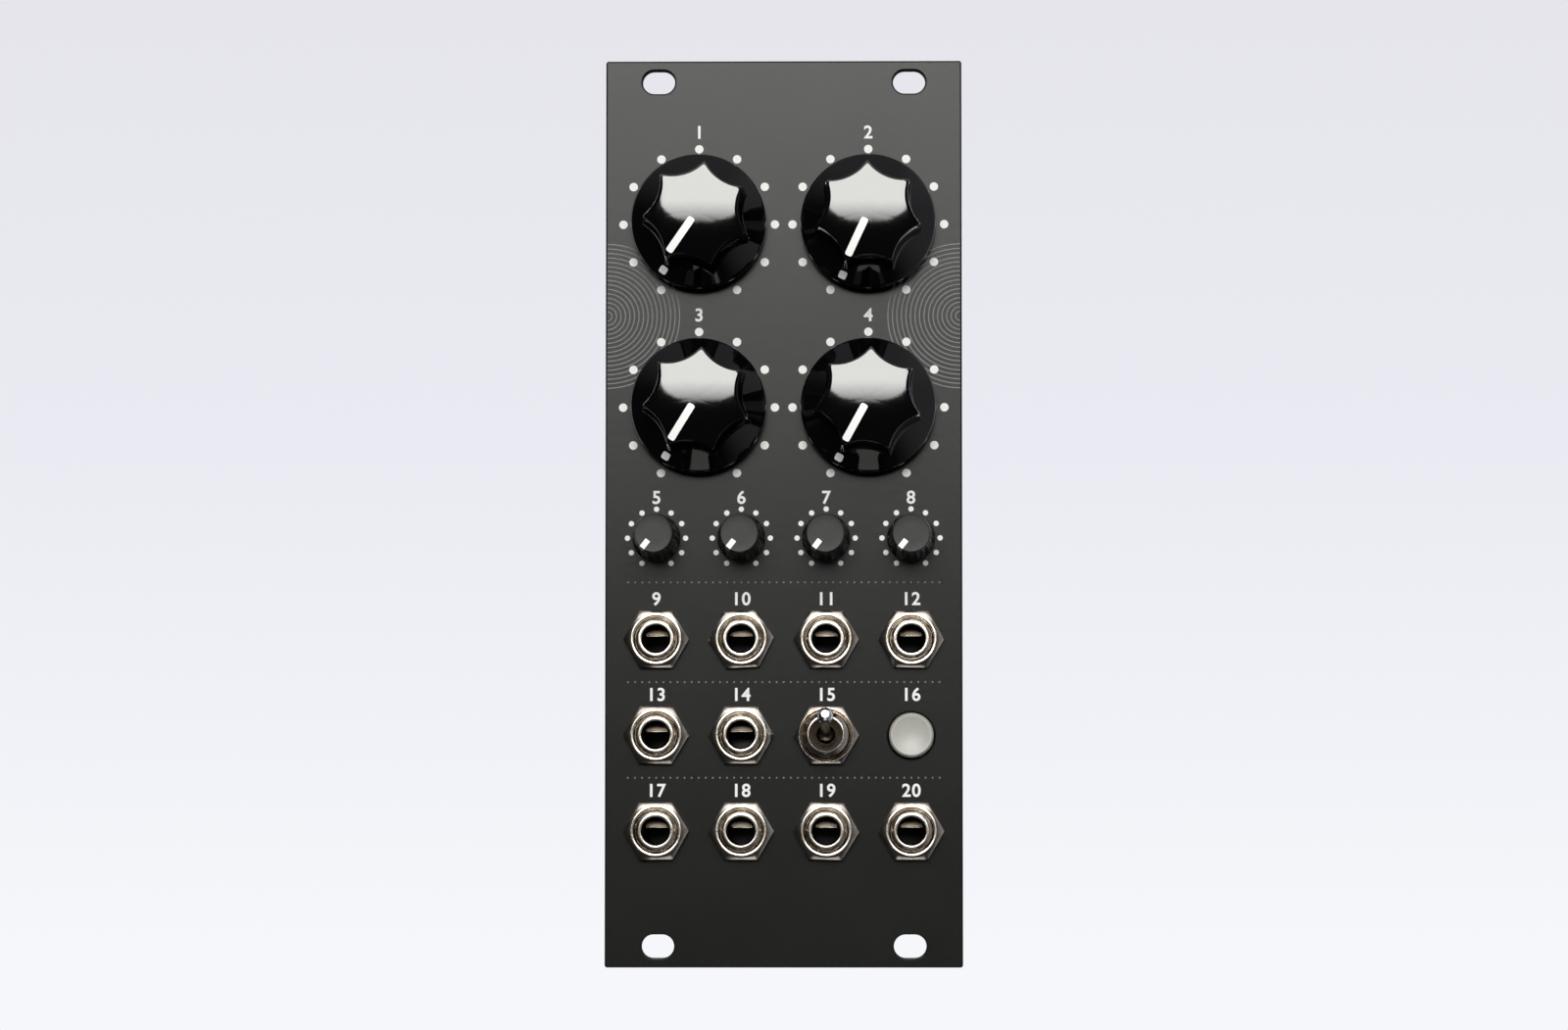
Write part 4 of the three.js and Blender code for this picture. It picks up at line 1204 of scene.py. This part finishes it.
for i, at in enumerate(can_places, 1):
    piece(f"can_sleeve_{i}", put_at(can(), at), "black_shrink_sleeve")
    piece(f"can_top_{i}", put_at(can_top(), at), "brushed_aluminium")
    rim = main_back + can_height
    # The scored vent is drawn as black strips standing on the top: painted shade for its grooves.
    vent_shade_strips = [put_at(block((-1.5, rim - 0.13, -0.09), (1.5, rim - 0.09, 0.09)), at, turn)
              for turn in (45, 135)]
    piece(f"can_vent_shade_{i}", joined(vent_shade_strips), "black_epoxy_resin")
    stripe = turned([(can_radius + 0.01, main_back + 1.9, 0), (can_radius + 0.02, main_back + 1.95, 0),
                     (can_radius + 0.02, rim - 0.6, 0), (can_radius + 0.01, rim - 0.55, 0)])
    far = [vert for vert in stripe.verts if vert.co.x < can_radius * 0.86]
    bmesh.ops.delete(stripe, geom=far, context="VERTS")
    piece(f"can_stripe_{i}", put_at(stripe, at, -20), "grey_epoxy_ink")
    trimmer = Vector((at.x, 0, 66))
    screw_face = main_back + 2.6
    case = block((trimmer.x - 2.2, main_back, trimmer.z - 2.4),
                 (trimmer.x + 2.2, screw_face, trimmer.z + 2.4), edge=0.25)
    piece(f"trimmer_{i}", case, "blue_moulded_plastic")
    screw = turned([(0, screw_face + 0.35, 0), (1.25, screw_face + 0.35, 0.15), (1.35, screw_face - 0.1, 0)],
                   steps=32)
    piece(f"trimmer_screw_{i}", put_at(screw, trimmer), "gold_plated_brass")
    # The cross slot is drawn as black strips standing on the screw's head: painted shade for its recess.
    cross = [put_at(block((-0.9, screw_face + 0.3, -0.14), (0.9, screw_face + 0.37, 0.14)), trimmer, turn)
             for turn in (20, 110)]
    piece(f"trimmer_slot_shade_{i}", joined(cross), "black_epoxy_resin")


def shroud():
    """The power connector's shroud: a floor, a ring of wall, and a ring open at the key above it."""
    low, high = header_low, header_high
    inward = Vector((header_wall, 0, header_wall))
    near, far = low + inward, high - inward
    wall = [rectangle(low, high), rectangle(near, far)]
    half = key_width / 2
    keyed = [(half, far.z), (far.x, far.z), (far.x, near.z), (near.x, near.z), (near.x, far.z),
             (-half, far.z), (-half, high.z), (low.x, high.z), (low.x, low.z), (high.x, low.z),
             (high.x, high.z), (half, high.z)]
    floor = block((low.x + 0.1, main_back, low.z + 0.1),
                  (high.x - 0.1, main_back + header_floor, high.z - 0.1))
    key_foot = high.y - key_depth
    return joined([floor, sheet(wall, key_foot - main_back, key_foot, edge=0.12),
                   sheet([keyed], key_depth, high.y, edge=0.12)])


piece("header_shroud", shroud(), "black_moulded_nylon", stands_for=["power_header"])
header_pins = [square_pin(x, z, main_back + 1, header_high.y - 0.9) for x, z in header_pin_places]
piece("header_pins", joined(header_pins), "gold_plated_brass")


# Studio: a pale floor and backdrop, a large soft box in front and above that dims towards its lower edge,
# a dimmer one over it, two behind, a card low in front, and a dim room. The camera stands square to the
# panel, a little right of it and low.
floor_height = -125
floor_front = -60
floor_width = 6000
backdrop_depth = 2600
backdrop_width = 16000
backdrop_height = 9000
backdrop_middle = 1500
box_tint = (1, 1, 0.97)


def stage_plane(name, width, depth, place, turn, material):
    """A flat piece of the studio."""
    shape = bmesh.new()
    bmesh.ops.create_grid(shape, x_segments=1, y_segments=1, size=0.5)
    bmesh.ops.scale(shape, vec=(width, depth, 1), verts=shape.verts)
    stand = Matrix.Translation(place) @ Matrix.Rotation(math.radians(turn), 4, "X")
    bmesh.ops.transform(shape, matrix=stand, verts=shape.verts)
    bmesh.ops.scale(shape, vec=(mm, mm, mm), verts=shape.verts)
    mesh = bpy.data.meshes.new(name)
    shape.to_mesh(mesh)
    shape.free()
    mesh.materials.append(bpy.data.materials[material])
    made = bpy.data.objects.new(name, mesh)
    scene.collection.objects.link(made)
    made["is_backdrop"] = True
    return made


# Matt paint on a board: it takes the shadow, and fades out before its edges show.
tree, shader, place = finish("pale_floor_paint", {"Base Color": srgb("#bcbcc2"), "Roughness": 0.7})
flat_place = add(tree, "VectorMath", {0: place, 1: (1, 1, 0)}, operation="MULTIPLY")
away = add(tree, "VectorMath", {0: flat_place.outputs[0]}, operation="LENGTH")
fade = add(tree, "MapRange", {"Value": away.outputs["Value"], "From Min": 0.1, "From Max": 0.7},
           interpolation_type="SMOOTHSTEP")
clear = add(tree, "BsdfTransparent", {})
mixed = add(tree, "MixShader", {0: fade.outputs[0], 1: shader.outputs[0], 2: clear.outputs[0]})
put(tree, tree.nodes["Material Output"], {"Surface": mixed.outputs[0]})
# Seamless paper, lit by itself: what the camera and glossy things see is its pale grey-white glow, with
# painted shade that darkens it towards the top.
tree, shader, place = finish("pale_backdrop_paper", {"Base Color": srgb("#e4e4ea"), "Roughness": 0.9})
rays = add(tree, "LightPath", {})
seen = add(tree, "Math", {0: rays.outputs["Is Camera Ray"], 1: rays.outputs["Is Glossy Ray"]},
           operation="MAXIMUM")
seen = add(tree, "Math", {0: seen.outputs[0], 1: rays.outputs["Is Transmission Ray"]}, operation="MAXIMUM")
axes = add(tree, "SeparateXYZ", {"Vector": place})
# The glow's tone is painted shade: lightest at the bottom, darker towards the top.
height = add(tree, "MapRange", {"Value": axes.outputs["Z"], "From Min": -0.04, "From Max": 0.58})
backdrop_shade_ramp = add(tree, "ValToRGB", {"Fac": height.outputs[0]})
backdrop_shade_ramp.color_ramp.elements[0].color = srgb("#f6f7fb")
backdrop_shade_ramp.color_ramp.elements[1].color = srgb("#e5e4eb")
middle_tone = backdrop_shade_ramp.color_ramp.elements.new(0.5)
middle_tone.color = srgb("#eaeaf2")
glow = add(tree, "Emission", {"Color": backdrop_shade_ramp.outputs[0], "Strength": 1})
mixed = add(tree, "MixShader", {0: seen.outputs[0], 1: shader.outputs[0], 2: glow.outputs[0]})
put(tree, tree.nodes["Material Output"], {"Surface": mixed.outputs[0]})

floor = stage_plane("studio_floor", floor_width, backdrop_depth - floor_front,
                    (0, (backdrop_depth + floor_front) / 2, floor_height), 0, "pale_floor_paint")
floor.visible_glossy = False
stage_plane("studio_backdrop", backdrop_width, backdrop_height, (0, backdrop_depth, backdrop_middle), 90,
            "pale_backdrop_paper")


def soft_box(name, shape, place, aim, width, height, glow):
    """A flat lamp at a place in millimetres, turned to a point. Its glow is 1 where it looks white."""
    lamp = bpy.data.lights.new(name, "AREA")
    lamp.shape = shape
    lamp.size, lamp.size_y = width * mm, height * mm
    area = lamp.size * lamp.size_y * (math.pi / 4 if shape == "ELLIPSE" else 1)
    lamp.energy = glow * math.pi * area
    lamp.color = box_tint
    made = bpy.data.objects.new(name, lamp)
    made.location = Vector(place) * mm
    made.rotation_euler = (Vector(aim) - Vector(place)).to_track_quat("-Z", "Y").to_euler()
    made.visible_camera = False
    scene.collection.objects.link(made)


studio_middle = Vector((0, panel_front, 90))
box_distance = 3200
box_tilt = math.radians(20)
box_way = Vector((0, -math.cos(box_tilt), math.sin(box_tilt)))
box_up = Vector((0, math.sin(box_tilt), math.cos(box_tilt)))
box_half_width = 845
box_low = -965
box_high = 430
box_glow = 14.5
fade_height = 475
fade_rows = 12
corner_width = 800
# The large box is several: a full one, and rows under it that get dimmer and narrower, for a soft curve.
box_rows = [(box_half_width, box_low + fade_height, box_high, box_glow)]
for i in range(fade_rows):
    share = (i + 0.5) / fade_rows
    row_low = box_low + fade_height * i / fade_rows
    box_rows.append((box_half_width - corner_width * (1 - math.sqrt(1 - (1 - share) ** 2)), row_low,
                     row_low + fade_height / fade_rows, box_glow * share ** 0.6))
for i, (half_width, bottom, top, glow) in enumerate(box_rows, 1):
    place = studio_middle + box_way * box_distance + box_up * (bottom + top) / 2
    soft_box(f"main_soft_box_{i}", "RECTANGLE", place, place - box_way, 2 * half_width, top - bottom, glow)
soft_box("upper_soft_box", "ELLIPSE", (0, -1556, 1349), studio_middle, width=2900, height=1000, glow=1.5)
for side in (-1, 1):
    soft_box(f"back_soft_box_{side}", "RECTANGLE", (side * 760, 2300, 1100), (0, 20, 60), width=1500,
             height=1500, glow=6)
soft_box("low_card", "RECTANGLE", (12, -125, -124), (12, -125, 0), width=115, height=110, glow=0.7)

world = bpy.data.worlds.new("studio_room")
scene.world = world
world.use_nodes = True
tree = world.node_tree
axes = add(tree, "SeparateXYZ", {"Vector": add(tree, "TexCoord", {}).outputs["Generated"]})
ceiling = add(tree, "MapRange", {"Value": axes.outputs["Z"], "From Min": 0.25, "From Max": 0.95,
                                 "To Min": 0.02, "To Max": 0.3}, interpolation_type="SMOOTHSTEP")
wall = add(tree, "MapRange", {"Value": axes.outputs["X"], "From Min": 0.35, "From Max": 0.9,
                              "To Min": 0.0, "To Max": 0.3}, interpolation_type="SMOOTHSTEP")
room = add(tree, "Math", {0: ceiling.outputs[0], 1: wall.outputs[0]}, operation="ADD")
rays = add(tree, "LightPath", {})
shown = add(tree, "Mix", {0: rays.outputs["Is Camera Ray"], 2: room.outputs[0], 3: 0.84})
put(tree, tree.nodes["Background"], {"Color": srgb("#f4f4fa"), "Strength": shown.outputs[0]})

camera = bpy.data.cameras.new("camera")
camera.sensor_width = 36
camera.lens = 130.1
camera_place = Vector((14, -802, 11))
camera_aim = Vector((0.04, panel_front, 60.84))
camera_stand = bpy.data.objects.new("camera", camera)
camera_stand.location = camera_place * mm
camera_stand.rotation_euler = (camera_aim - camera_place).to_track_quat("-Z", "Y").to_euler()
scene.collection.objects.link(camera_stand)
scene.camera = camera_stand
scene.view_settings.view_transform = "Standard"

low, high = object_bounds()
